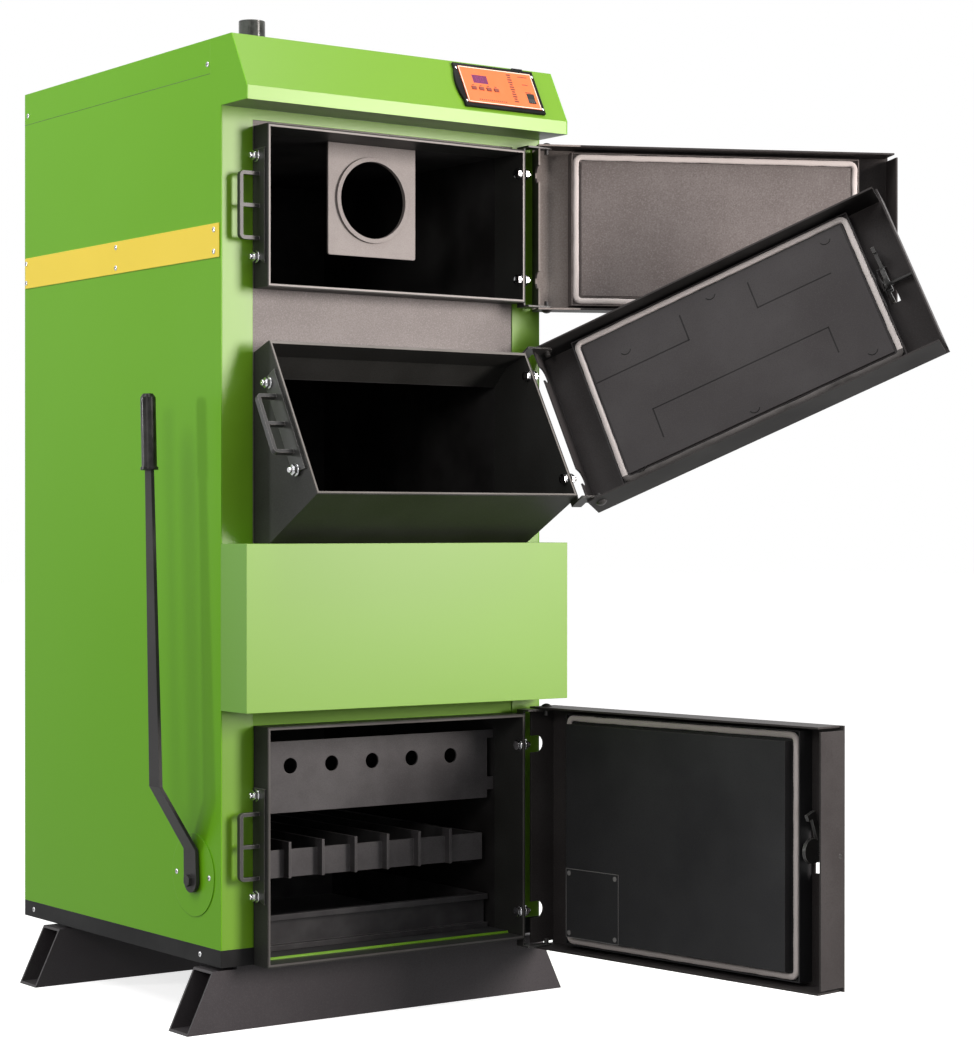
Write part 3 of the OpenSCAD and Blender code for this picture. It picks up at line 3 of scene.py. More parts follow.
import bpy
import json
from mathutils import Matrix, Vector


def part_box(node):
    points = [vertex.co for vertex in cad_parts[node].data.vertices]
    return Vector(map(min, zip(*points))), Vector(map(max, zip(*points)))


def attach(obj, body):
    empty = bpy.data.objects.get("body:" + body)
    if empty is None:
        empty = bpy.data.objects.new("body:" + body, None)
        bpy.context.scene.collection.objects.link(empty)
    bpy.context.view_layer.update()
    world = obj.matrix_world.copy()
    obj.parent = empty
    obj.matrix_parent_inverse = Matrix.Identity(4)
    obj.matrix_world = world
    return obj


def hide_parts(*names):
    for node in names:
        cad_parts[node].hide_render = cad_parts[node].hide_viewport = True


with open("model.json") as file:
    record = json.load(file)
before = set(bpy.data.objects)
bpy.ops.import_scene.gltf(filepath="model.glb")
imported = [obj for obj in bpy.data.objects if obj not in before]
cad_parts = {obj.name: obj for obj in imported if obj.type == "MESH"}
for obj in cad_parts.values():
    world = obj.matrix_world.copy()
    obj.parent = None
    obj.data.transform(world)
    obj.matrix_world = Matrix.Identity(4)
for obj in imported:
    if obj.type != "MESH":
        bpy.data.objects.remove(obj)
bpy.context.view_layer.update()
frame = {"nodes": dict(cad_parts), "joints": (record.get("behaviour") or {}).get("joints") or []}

import json
import logging
import math
from dataclasses import dataclass, field, replace
from enum import Enum
from functools import cached_property
from typing import Mapping, Optional, Sequence, Union

import bmesh
import bpy
from mathutils import Matrix, Vector, noise

LOG = logging.getLogger("boiler")
MM = 0.001

Tint = tuple[float, float, float]
Way = tuple[float, float, float]
Span = tuple[float, float, float, float]
Number = Union["Signal", float, int]
Socket = bpy.types.NodeSocket
Colour = Union[Tint, Socket]
Values = Mapping[Union[str, int], object]
Coating = Union["Finish", "Glow", "GlassRope"]

FRONT, BACK = (0.0, -1.0, 0.0), (0.0, 1.0, 0.0)
LEFT, RIGHT = (-1.0, 0.0, 0.0), (1.0, 0.0, 0.0)
DOWN, UP = (0.0, 0.0, -1.0), (0.0, 0.0, 1.0)
WHITE, BLACK = (1.0, 1.0, 1.0), (0.0, 0.0, 0.0)
ORIGIN = (0.0, 0.0, 0.0)
HAIR_EASE, FINE_EASE = 0.05, 0.1
WELD = 1e-6
SOFT_TURN = 80.0


def tint(red: float, green: float, blue: float) -> Tint:
    """Turns screen levels from 0 to 255 into the linear values that shaders use."""
    levels = [c / 255 for c in (red, green, blue)]
    return tuple(c / 12.92 if c <= 0.04045 else ((c + 0.055) / 1.055) ** 2.4 for c in levels)


def blend(first: Tint, second: Tint, share: float) -> Tint:
    """Returns the tint that lies a share of the way from the first to the second."""
    return tuple(a + (b - a) * share for a, b in zip(first, second))


class Level(Enum):
    """Which of the three doors a piece belongs to."""

    UPPER = "upper"
    MIDDLE = "middle"
    LOWER = "lower"


class Crown(Enum):
    """The end of a hexagon whose corners are turned off."""

    HIGH = 1
    LOW = -1


class Sum(Enum):
    """How two signals are joined, under Blender's names."""

    PLUS = "ADD"
    MINUS = "SUBTRACT"
    TIMES = "MULTIPLY"


class Detail(Enum):
    """How many finer layers a noise has."""

    PLAIN = 1.0
    FINE = 2.0
    RICH = 3.0


class Ray(Enum):
    """The rays that a material can tell apart, under Blender's names."""

    CAMERA = "Is Camera Ray"
    GLOSSY = "Is Glossy Ray"
    CLEAR = "Is Transmission Ray"


class Signal:
    """A number in a material; the usual operators combine signals and plain numbers."""

    def __init__(self, paint: "Paint", socket: Socket) -> None:
        """Keeps the socket and the paint that it belongs to."""
        self.paint = paint
        self.socket = socket

    def _joined(self, how: Sum, first: Number, second: Number) -> "Signal":
        """Adds one Math node for the sum and returns what it gives."""
        node = self.paint.node("ShaderNodeMath", {"operation": how.value}, {0: first, 1: second})
        return Signal(self.paint, node.outputs[0])

    def __add__(self, other: Number) -> "Signal":
        """Adds."""
        return self._joined(Sum.PLUS, self, other)

    def __radd__(self, other: Number) -> "Signal":
        """Adds, with the plain number first."""
        return self._joined(Sum.PLUS, other, self)

    def __sub__(self, other: Number) -> "Signal":
        """Subtracts."""
        return self._joined(Sum.MINUS, self, other)

    def __rsub__(self, other: Number) -> "Signal":
        """Subtracts from a plain number."""
        return self._joined(Sum.MINUS, other, self)

    def __mul__(self, other: Number) -> "Signal":
        """Multiplies."""
        return self._joined(Sum.TIMES, self, other)

    def __rmul__(self, other: Number) -> "Signal":
        """Multiplies, with the plain number first."""
        return self._joined(Sum.TIMES, other, self)

    def between(self, low: float, high: float) -> "Signal":
        """Rises smoothly from 0 at low to 1 at high, and stays there.

        Args:
            low: Value that gives 0.
            high: Value that gives 1.

        Returns:
            The signal from 0 to 1.
        """
        settings = {"interpolation_type": "SMOOTHSTEP"}
        node = self.paint.node("ShaderNodeMapRange", settings, {0: self, 1: low, 2: high})
        return Signal(self.paint, node.outputs[0])


class Paint:
    """A material or world under construction, with one method that adds any node."""

    EDGE_TURN = (0.004, 0.12)
    BEVEL_SAMPLES = 4
    ROUGHNESS = 0.55

    def __init__(self, owner: Union[bpy.types.Material, bpy.types.World]) -> None:
        """Empties the owner's nodes.

        Args:
            owner: The material or world that is being built.
        """
        self.owner = owner
        owner.use_nodes = True
        self.tree = owner.node_tree
        self.tree.nodes.clear()

    @classmethod
    def material(cls, name: str) -> "Paint":
        """Starts a new material of that name."""
        return cls(bpy.data.materials.new(name))

    @cached_property
    def place(self) -> Socket:
        """Where the shaded point lies in the row frame."""
        return self.node("ShaderNodeTexCoord").outputs["Object"]

    def node(
        self, kind: str, settings: Optional[Mapping[str, object]] = None, values: Optional[Values] = None
    ) -> bpy.types.Node:
        """Adds a node, sets it up and feeds its sockets.

        Args:
            kind: Blender's name for the node type.
            settings: Properties that are set first.
            values: Plain values, signals or sockets by the name or place of the input.

        Returns:
            The new node.
        """
        made = self.tree.nodes.new(kind)
        for name, value in (settings or {}).items():
            setattr(made, name, value)
        for key, value in (values or {}).items():
            target = made.inputs[key]
            if isinstance(value, Signal):
                self.tree.links.new(value.socket, target)
            elif isinstance(value, Socket):
                self.tree.links.new(value, target)
            elif isinstance(value, tuple) and target.type == "RGBA":
                target.default_value = (*value, 1.0)
            else:
                target.default_value = value
        return made

    def noise(self, pitch: float, detail: Detail) -> Signal:
        """Random patches of about the given pitch, wandering about 0.5.

        Args:
            pitch: Distance from patch to patch in metres.
            detail: Its finer layers.

        Returns:
            The wandering signal.
        """
        values = {"Vector": self.place, "Scale": 1 / pitch, "Detail": detail.value}
        values["Roughness"] = self.ROUGHNESS
        return Signal(self, self.node("ShaderNodeTexNoise", None, values).outputs[0])

    def mix(self, share: Number, first: Colour, second: Colour) -> Socket:
        """Lays the second colour over the first, as far as the share says."""
        values = {0: share, 6: first, 7: second}
        return self.node("ShaderNodeMix", {"data_type": "RGBA"}, values).outputs[2]

    def _dot(self, first: Socket, second: Union[Way, Socket]) -> Signal:
        """The dot product of two vectors."""
        node = self.node("ShaderNodeVectorMath", {"operation": "DOT_PRODUCT"}, {0: first, 1: second})
        return Signal(self, node.outputs["Value"])

    def facing(self, way: Way) -> Signal:
        """How squarely the surface faces a direction of the piece's own frame, from -1 to 1."""
        return self._dot(self.node("ShaderNodeTexCoord").outputs["Normal"], way)

    def along(self, way: Way) -> Signal:
        """How far the surface lies along a direction, in metres from the row frame's origin."""
        return self._dot(self.place, way)

    def ray(self, kind: Ray) -> Signal:
        """Gives 1 for rays of that kind and 0 for others."""
        return Signal(self, self.node("ShaderNodeLightPath").outputs[kind.value])

    def seen(self) -> Signal:
        """Gives 1 to the camera, straight or by way of glossy and clear surfaces."""
        return self.ray(Ray.CAMERA) + self.ray(Ray.GLOSSY) + self.ray(Ray.CLEAR)

    def softened(self, radius: float) -> Socket:
        """The normal of the surface with its edges rounded by a radius in metres."""
        return self.node("ShaderNodeBevel", {"samples": self.BEVEL_SAMPLES}, {"Radius": radius}).outputs[0]

    def edges(self, softened: Socket) -> Signal:
        """A mask of the edges, from the difference between softened and true normals."""
        true = self.node("ShaderNodeNewGeometry").outputs["True Normal"]
        return (1 - self._dot(softened, true)).between(*self.EDGE_TURN)

    def bump(self, height: Signal, depth: float, normal: Optional[Socket] = None) -> Socket:
        """Raises the surface by a signal.

        Args:
            height: The relief from 0 to 1.
            depth: Its full height in metres.
            normal: The normal that it starts from.

        Returns:
            The bumped normal.
        """
        values = {"Strength": 1.0, "Distance": depth, "Height": height}
        if normal is not None:
            values["Normal"] = normal
        return self.node("ShaderNodeBump", None, values).outputs[0]

    def surface(self, values: Values) -> bpy.types.Material:
        """Closes the material with a surface shader.

        Args:
            values: The shader's sockets.

        Returns:
            The finished material.
        """
        shader = self.node("ShaderNodeBsdfPrincipled", None, values)
        self.node("ShaderNodeOutputMaterial", None, {"Surface": shader.outputs[0]})
        return self.owner


@dataclass(frozen=True)
class Zone:
    """The part of a surface that faces one way and lies between pairs of planes."""

    FACING_TURN = (0.93, 0.97)
    LINE_BLUR = 0.0003

    facing: Optional[Way] = None
    spans: tuple[tuple[Way, float, float], ...] = ()
    outside: bool = False

    def mask(self, paint: Paint) -> Signal:
        """Gives 1 inside the zone and 0 elsewhere, or the reverse where it is marked outside.

        Args:
            paint: The material that asks.

        Returns:
            The mask.
        """
        blur = self.LINE_BLUR
        share = paint.facing(self.facing).between(*self.FACING_TURN) if self.facing else None
        for way, low, high in self.spans:
            run = paint.along(way)
            part = run.between(low - blur, low + blur) * (1 - run.between(high - blur, high + blur))
            share = part if share is None else share * part
        return 1 - share if self.outside else share


@dataclass(frozen=True)
class Finish:
    """A painted or bare surface with cloudy colour, fine speckle, grain relief and a tinted line along its
    edges: wear on most finishes, darker on the door plates, and a painted highlight on the green paint.
    """

    CLOUD_RUN = (0.3, 0.7)
    CLOUD_LIGHT = 0.3
    GRAIN_RUN = (0.5, 0.72)
    GRAIN_SHARE = 0.8
    GRAIN_SINK = 2.2

    name: str
    base: Tint
    cloud: float = 0.06
    cloud_pitch: float = 0.18
    speckle: float = 0.0
    speckle_pitch: float = 0.0016
    gloss: float = 0.4
    gloss_swing: float = 0.08
    metal: float = 0.0
    relief: float = 0.00003
    relief_pitch: float = 0.0022
    edge: Optional[Tint] = None
    edge_share: float = 0.5
    edge_radius: float = 0.0012
    coat: float = 0.0
    shine: float = 0.5
    zones: tuple[tuple[Zone, "Finish"], ...] = ()

    def make(self) -> bpy.types.Material:
        """Builds the material.

        Returns:
            The finished material.
        """
        paint = Paint.material(self.name)
        clouds = paint.noise(self.cloud_pitch, Detail.RICH)
        colour = self.colour(paint, clouds)
        for zone, other in self.zones:
            colour = paint.mix(zone.mask(paint), colour, other.colour(paint, clouds))
        fine = paint.noise(self.relief_pitch, Detail.PLAIN)
        soft = paint.softened(self.edge_radius)
        # Edge tint: wear on most finishes, a painted highlight on the green paint.
        if self.edge:
            colour = paint.mix(paint.edges(soft) * self.edge_share, colour, self.edge)
        rough = self.gloss + (clouds - 0.5) * self.gloss_swing
        return paint.surface({
            "Base Color": colour, "Roughness": rough, "Metallic": self.metal,
            "Specular IOR Level": self.shine, "Coat Weight": self.coat,
            "Normal": paint.bump(fine, self.relief, soft),
        })

    def colour(self, paint: Paint, clouds: Signal) -> Socket:
        """The cloudy and speckled colour, without the edges.

        Args:
            paint: The material that it goes into.
            clouds: Slow patches over the surface.

        Returns:
            The colour socket.
        """
        dark = blend(self.base, BLACK, self.cloud)
        light = blend(self.base, WHITE, self.cloud * self.CLOUD_LIGHT)
        colour = paint.mix(clouds.between(*self.CLOUD_RUN), dark, light)
        if self.speckle:
            grains = paint.noise(self.speckle_pitch, Detail.PLAIN)
            pale = blend(self.base, WHITE, self.speckle)
            colour = paint.mix(grains.between(*self.GRAIN_RUN) * self.GRAIN_SHARE, colour, pale)
            sunk = blend(self.base, BLACK, min(1.0, self.speckle * self.GRAIN_SINK))
            colour = paint.mix((1 - grains).between(*self.GRAIN_RUN) * self.GRAIN_SHARE, colour, sunk)
        return colour


@dataclass(frozen=True)
class Glow:
    """A dim lit window behind glossy plastic."""

    name: str
    base: Tint
    light: Tint
    strength: float
    patch_pitch: float = 0.012
    unlit_share: float = 0.4
    rough: float = 0.18
    rough_swing: float = 0.06
    coat: float = 0.6

    def make(self) -> bpy.types.Material:
        """Builds the material, brighter towards patches of the lamp behind it.

        Returns:
            The finished material.
        """
        paint = Paint.material(self.name)
        patch = paint.noise(self.patch_pitch, Detail.PLAIN)
        colour = paint.mix(patch, self.base, blend(self.base, self.light, self.unlit_share))
        return paint.surface({
            "Base Color": colour, "Roughness": self.rough + patch * self.rough_swing,
            "Emission Color": paint.mix(patch, self.light, self.base),
            "Emission Strength": self.strength, "Coat Weight": self.coat,
        })


@dataclass(frozen=True)
class GlassRope:
    """Pale spun glass rope with fine fibres and a few stains, darkened with painted shade where a zone says
    so.
    """

    name: str
    base: Tint
    stain: Tint = tint(150, 140, 130)
    painted_shade: Tint = tint(38, 35, 34)
    fibre_pitch: float = 0.0007
    fibre_run: tuple[float, float] = (0.35, 0.65)
    fibre_share: float = 0.4
    gap_share: float = 0.3
    stain_pitch: float = 0.05
    stain_run: tuple[float, float] = (0.55, 0.8)
    stain_share: float = 0.2
    painted_shade_share: float = 0.72
    painted_shade_swing: float = 0.3
    rough: float = 0.85
    rough_swing: float = 0.1
    fuzz: float = 0.2
    relief: float = 0.0002
    painted_shade_zone: Optional[Zone] = None

    def make(self) -> bpy.types.Material:
        """Builds the material with fine fibres and stains.

        Returns:
            The finished material.
        """
        paint = Paint.material(self.name)
        fibres = paint.noise(self.fibre_pitch, Detail.FINE)
        stains = paint.noise(self.stain_pitch, Detail.FINE)
        gap = blend(self.base, BLACK, self.gap_share)
        colour = paint.mix(fibres.between(*self.fibre_run) * self.fibre_share, self.base, gap)
        colour = paint.mix(stains.between(*self.stain_run) * self.stain_share, colour, self.stain)
        # Painted shade: the rope darkens inside the zone, broken up by the stain noise.
        if self.painted_shade_zone:
            share = self.painted_shade_zone.mask(paint) * (self.painted_shade_share + stains * self.painted_shade_swing)
            colour = paint.mix(share, colour, self.painted_shade)
        return paint.surface({
            "Base Color": colour, "Roughness": self.rough + fibres * self.rough_swing,
            "Sheen Weight": self.fuzz, "Normal": paint.bump(fibres, self.relief),
        })


# Its pale edge tint is a painted highlight along the edges.
GREEN = Finish(
    "satin_green", tint(114, 165, 28), cloud=0.015, cloud_pitch=0.5, gloss=0.33, gloss_swing=0.03,
    relief=0.000006, relief_pitch=0.003, edge=tint(170, 214, 110), edge_share=0.4, edge_radius=0.001,
    shine=0.45,
)
# Painted sheen: a paler copy of the green for the hood's front faces, where the light's reflection falls.
PAINTED_SHEEN_GREEN = replace(GREEN, name="painted_sheen_green", base=tint(138, 186, 66))
# Painted shade: a darker copy of the green for the hood's underside.
PAINTED_SHADE_GREEN = replace(GREEN, name="painted_shade_green", base=tint(54, 82, 14))
SIDE_GREEN = replace(GREEN, name="side_green", base=tint(112, 181, 22), shine=0.13)
# Painted shade: a darker copy of the green for the fascia's left and right faces, set against the sheen of
# its shinier paint.
SHADED_CHEEK_GREEN = replace(GREEN, name="painted_shade_cheek_green", base=tint(102, 164, 2))
FASCIA_GREEN = replace(
    GREEN, name="fascia_green", base=tint(118, 170, 24), shine=0.65, gloss=0.42,
    zones=((Zone(LEFT), SHADED_CHEEK_GREEN), (Zone(RIGHT), SHADED_CHEEK_GREEN)),
)
DOOR_ENAMEL = Finish(
    "door_enamel", tint(54, 50, 50), cloud=0.08, speckle=0.02, gloss=0.45, relief=0.00004,
    edge=tint(120, 117, 115), edge_share=0.4, edge_radius=0.0008, shine=0.12,
)
COLLAR_ENAMEL = Finish(
    "collar_enamel", tint(44, 44, 42), speckle=0.02, gloss=0.45, edge=tint(120, 117, 114),
    edge_share=0.4, edge_radius=0.0008, shine=0.12,
)
RIM_STEEL = Finish("rim_steel", tint(176, 171, 168), cloud=0.12, cloud_pitch=0.03)
DULL_RIM = Finish("dull_rim", tint(122, 118, 114), cloud=0.15, cloud_pitch=0.03)
DARK_RIM = Finish("dark_rim", tint(82, 79, 77), cloud=0.15, cloud_pitch=0.03)
FOOT_ENAMEL = Finish("foot_enamel", tint(60, 56, 59), speckle=0.02, gloss=0.42, shine=0.25)
TRAY_ENAMEL = Finish("tray_enamel", tint(24, 24, 25), gloss=0.45, shine=0.08)
SHELL_SHADE = Finish("shell_shade", tint(26, 26, 27), cloud=0.1)
MILL_PLATE = Finish(
    "mill_plate", tint(136, 128, 126), cloud=0.14, cloud_pitch=0.12, speckle=0.1, gloss=0.5,
    relief=0.00005, speckle_pitch=0.002, shine=0.3,
    zones=((Zone(facing=FRONT, outside=True), SHELL_SHADE), (Zone(FRONT, ((UP, 0.0, 0.56),)), GREEN)),
)
FLUE_PLATE = Finish(
    "flue_plate", tint(150, 142, 139), cloud=0.1, cloud_pitch=0.05, speckle=0.06, gloss=0.5, shine=0.35,
)
# Real soot in the firebox; the middle door's tray also takes this colour underneath as painted shade.
SOOT_AND_SHADE = Finish("soot_and_shade_black", tint(24, 22, 22), cloud=0.1, gloss=0.7, relief=0.00005, shine=0.15)
FIRE_IRON = Finish(
    "fire_iron", tint(64, 61, 63), cloud=0.12, cloud_pitch=0.08, speckle=0.03, gloss=0.5,
    edge=tint(128, 124, 122), edge_share=0.4, shine=0.4,
)
# Painted shade: darker iron for the parts of the grate that lie deep in the ash mouth.
PAINTED_SHADE_IRON = Finish("painted_shade_iron", tint(34, 33, 34), cloud=0.1)
PAN_IRON = Finish(
    "pan_iron", tint(38, 36, 38), cloud=0.1, cloud_pitch=0.08, gloss=0.45, edge=tint(100, 98, 96),
    edge_share=0.4, shine=0.3,
)
ZINC = Finish(
    "zinc_steel", tint(214, 214, 216), cloud=0.08, cloud_pitch=0.01, gloss=0.16, gloss_swing=0.04,
    metal=1.0, relief=0.000004, edge_radius=0.0004,
)
# Painted shade: a dark cross laid on each screw head for the shade in its recess.
RECESS_SHADE = Finish("painted_recess_shade", tint(30, 30, 32), cloud=0.1, edge_radius=0.0002)
BLACK_STEEL = Finish(
    "black_steel", tint(38, 37, 36), cloud=0.08, gloss=0.35, edge=tint(188, 184, 180), edge_share=0.75,
    edge_radius=0.0008, shine=0.4,
)
PIPE_STEEL = Finish(
    "pipe_steel", tint(26, 26, 25), cloud=0.2, cloud_pitch=0.02, gloss=0.14, metal=0.1,
    edge_radius=0.0004, shine=0.45,
)
PIN_STEEL = Finish("pin_steel", tint(46, 44, 43), cloud=0.1, gloss=0.35, shine=0.3)
UPPER_PLATE = Finish(
    "speckled_plate", tint(112, 104, 102), cloud=0.08, cloud_pitch=0.09, speckle=0.08,
    speckle_pitch=0.0024, gloss=0.5, relief=0.00006, edge=tint(60, 56, 54),
    edge_share=0.6, shine=0.25,
)
MIDDLE_PLATE = Finish(
    "middle_plate", tint(58, 54, 55), cloud=0.07, speckle=0.015, gloss=0.45, edge=tint(30, 28, 27),
    edge_share=0.6, shine=0.2,
)
LOWER_PLATE = Finish(
    "lower_plate", tint(39, 39, 41), cloud=0.05, speckle=0.008, gloss=0.45, edge=tint(110, 108, 106),
    edge_share=0.3, shine=0.18,
)
# Bare speckled steel, made paler than its own tone as painted light in the shaded strip beside the hinges.
LIGHTENED_BARE_TRAY = Finish(
    "bare_tray_painted_light", tint(166, 156, 151), cloud=0.08, cloud_pitch=0.09, speckle=0.08, speckle_pitch=0.0024,
)
# Painted shade: dark strips and arcs for the shade in the middle plate's pressed lines and crescents.
GROOVE_SHADE_LINE = Finish("painted_groove_shade", tint(24, 22, 22), cloud=0.05, gloss=0.6, shine=0.2)
# Pale grey for the patch's painted highlight line and for the rivets' own bare heads.
PATCH_HIGHLIGHT_AND_RIVET = Finish("patch_highlight_and_rivet_grey", tint(132, 130, 130), cloud=0.1, gloss=0.5)
YELLOW = Finish("yellow_band", tint(255, 224, 60), cloud=0.02, gloss=0.35, shine=0.3)
ORANGE = Finish(
    "orange_film", tint(250, 124, 68), cloud=0.04, cloud_pitch=0.04, gloss=0.34, edge_radius=0.0003,
    shine=0.4,
)
MOULDING = Finish(
    "black_moulding", tint(9, 12, 12), cloud=0.08, gloss=0.45, relief_pitch=0.0008, shine=0.12,
)
DARK_INK = Finish("dark_print", tint(128, 52, 30), cloud=0.1, edge_radius=0.0002)
WHITE_INK = Finish("white_print", tint(252, 242, 228), cloud=0.02, edge_radius=0.0002)
KEY = Finish("dark_key", tint(146, 66, 50), cloud=0.1, gloss=0.35, edge_radius=0.0004)
ROCKER = Finish("glossy_rocker", tint(10, 10, 11), cloud=0.1, gloss=0.18, coat=0.5)
GRIP = Finish(
    "grip_rubber", tint(13, 9, 8), cloud=0.12, cloud_pitch=0.03, gloss=0.3, relief=0.00006,
    coat=0.06, shine=0.2,
)
LEVER_STEEL = Finish(
    "lever_enamel", tint(46, 44, 45), cloud=0.08, speckle=0.02, edge=tint(110, 110, 110),
    edge_radius=0.001, shine=0.14,
)
ALLOY = Finish(
    "cast_alloy", tint(160, 160, 164), cloud=0.1, metal=0.9, relief=0.00006,
)
MOTOR = Finish("motor_black", tint(28, 28, 30), cloud=0.1, gloss=0.45)
WOOL = Finish(
    "mineral_wool", tint(196, 178, 110), cloud=0.2, cloud_pitch=0.03, speckle=0.1, gloss=0.95,
    relief=0.0008, relief_pitch=0.004,
)
SEAM = Finish("seam_shadow", tint(48, 84, 18), cloud=0.1, gloss=0.6, edge_radius=0.0002)
ROPE = GlassRope("glass_rope", tint(226, 217, 214))
DISPLAY = Glow("violet_display", tint(100, 8, 74), tint(130, 14, 94), 0.16)
DIGIT = Glow("digit_segments", tint(128, 22, 98), tint(156, 34, 120), 0.25)


class Palette:
    """Makes each finish once and hands it out."""

    def __init__(self) -> None:
        """Starts with no finish made."""
        self._made: dict[str, bpy.types.Material] = {}

    def get(self, finish: Coating) -> bpy.types.Material:
        """Hands out a finish's material, made on first use.

        Args:
            finish: The finish.

        Returns:
            Its material.
        """
        if finish.name not in self._made:
            self._made[finish.name] = finish.make()
        return self._made[finish.name]

    def dress(self, finish: Coating, *nodes: str) -> None:
        """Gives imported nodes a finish.

        Args:
            finish: The finish.
            nodes: Names of the nodes.
        """
        for name in nodes:
            mesh = frame["nodes"][name].data
            mesh.materials.clear()
            mesh.materials.append(self.get(finish))
            LOG.info("%s: %s", name, finish.name)


PALETTE = Palette()


def axes(origin: Sequence[float], x: Way, y: Way, z: Way) -> Matrix:
    """A frame whose local units are millimetres, from its origin in metres and its directions."""
    rows = [[x[i] * MM, y[i] * MM, z[i] * MM, origin[i]] for i in range(3)]
    return Matrix(rows + [[0.0, 0.0, 0.0, 1.0]])


def upright(origin: Sequence[float] = ORIGIN) -> Matrix:
    """A millimetre frame parallel to the row frame."""
    return axes(origin, RIGHT, BACK, UP)


def sideways(low: Vector, high: Vector) -> Matrix:
    """A millimetre frame in the middle of a box's inner side, with Z pointing away from the boiler.

    Args:
        low: Lowest corner of the box.
        high: Highest corner of the box.

    Returns:
        The frame, whose Z runs along X on the right and against it on the left.
    """
    centre = (low + high) / 2
    side = 1 if centre.x > 0 else -1
    foot = (low.x if side > 0 else high.x, centre.y, centre.z)
    return axes(foot, (0, side, 0), UP, (side, 0, 0))


def unit(local: Matrix, x: float, y: float, z: float) -> Vector:
    """A unit vector of the row frame from its parts along a local frame's axes."""
    return (local.to_3x3() @ Vector((x, y, z))).normalized()


def around(steps: int) -> list[float]:
    """Equal turns round a circle, in radians."""
    return [2 * math.pi * k / steps for k in range(steps)]


def polar(local: Matrix, radius: float, angle: float, height: float) -> Vector:
    """The point at a radius, an angle and a height about local Z."""
    return local @ Vector((radius * math.cos(angle), radius * math.sin(angle), height))


def border(x0: float, x1: float, z0: float, z1: float, w: float) -> list[Span]:
    """The top, bottom, left and right bars of a rectangle's edge, as X and Z spans."""
    return [(x0, x1, z1 - w, z1), (x0, x1, z0, z0 + w), (x0, x0 + w, z0, z1), (x1 - w, x1, z0, z1)]


def corners(points: Sequence[Vector]) -> tuple[Vector, Vector]:
    """The lowest and highest corner of the box round some points."""
    low, high = (Vector([pick(p[i] for p in points) for i in range(3)]) for pick in (min, max))
    return low, high


def extent(node: str, local: Matrix) -> tuple[Vector, Vector]:
    """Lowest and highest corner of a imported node, in the units of a local frame."""
    inverse = local.inverted()
    return corners([inverse @ v.co for v in frame["nodes"][node].data.vertices])


def islands(node: str) -> list[tuple[Vector, Vector]]:
    """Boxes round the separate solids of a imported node.

    Args:
        node: Name of the node.

    Returns:
        The lowest and highest corner of each, in metres.
    """
    grid = bmesh.new()
    grid.from_mesh(frame["nodes"][node].data)
    bmesh.ops.remove_doubles(grid, verts=grid.verts, dist=WELD)
    left = set(grid.verts)
    boxes = []
    while left:
        stack = [left.pop()]
        part = []
        while stack:
            vert = stack.pop()
            part.append(vert.co.copy())
            for edge in vert.link_edges:
                other = edge.other_vert(vert)
                if other in left:
                    left.discard(other)
                    stack.append(other)
        boxes.append(corners(part))
    grid.free()
    return sorted(boxes, key=lambda box: tuple(round(c, 5) for c in box[0]))


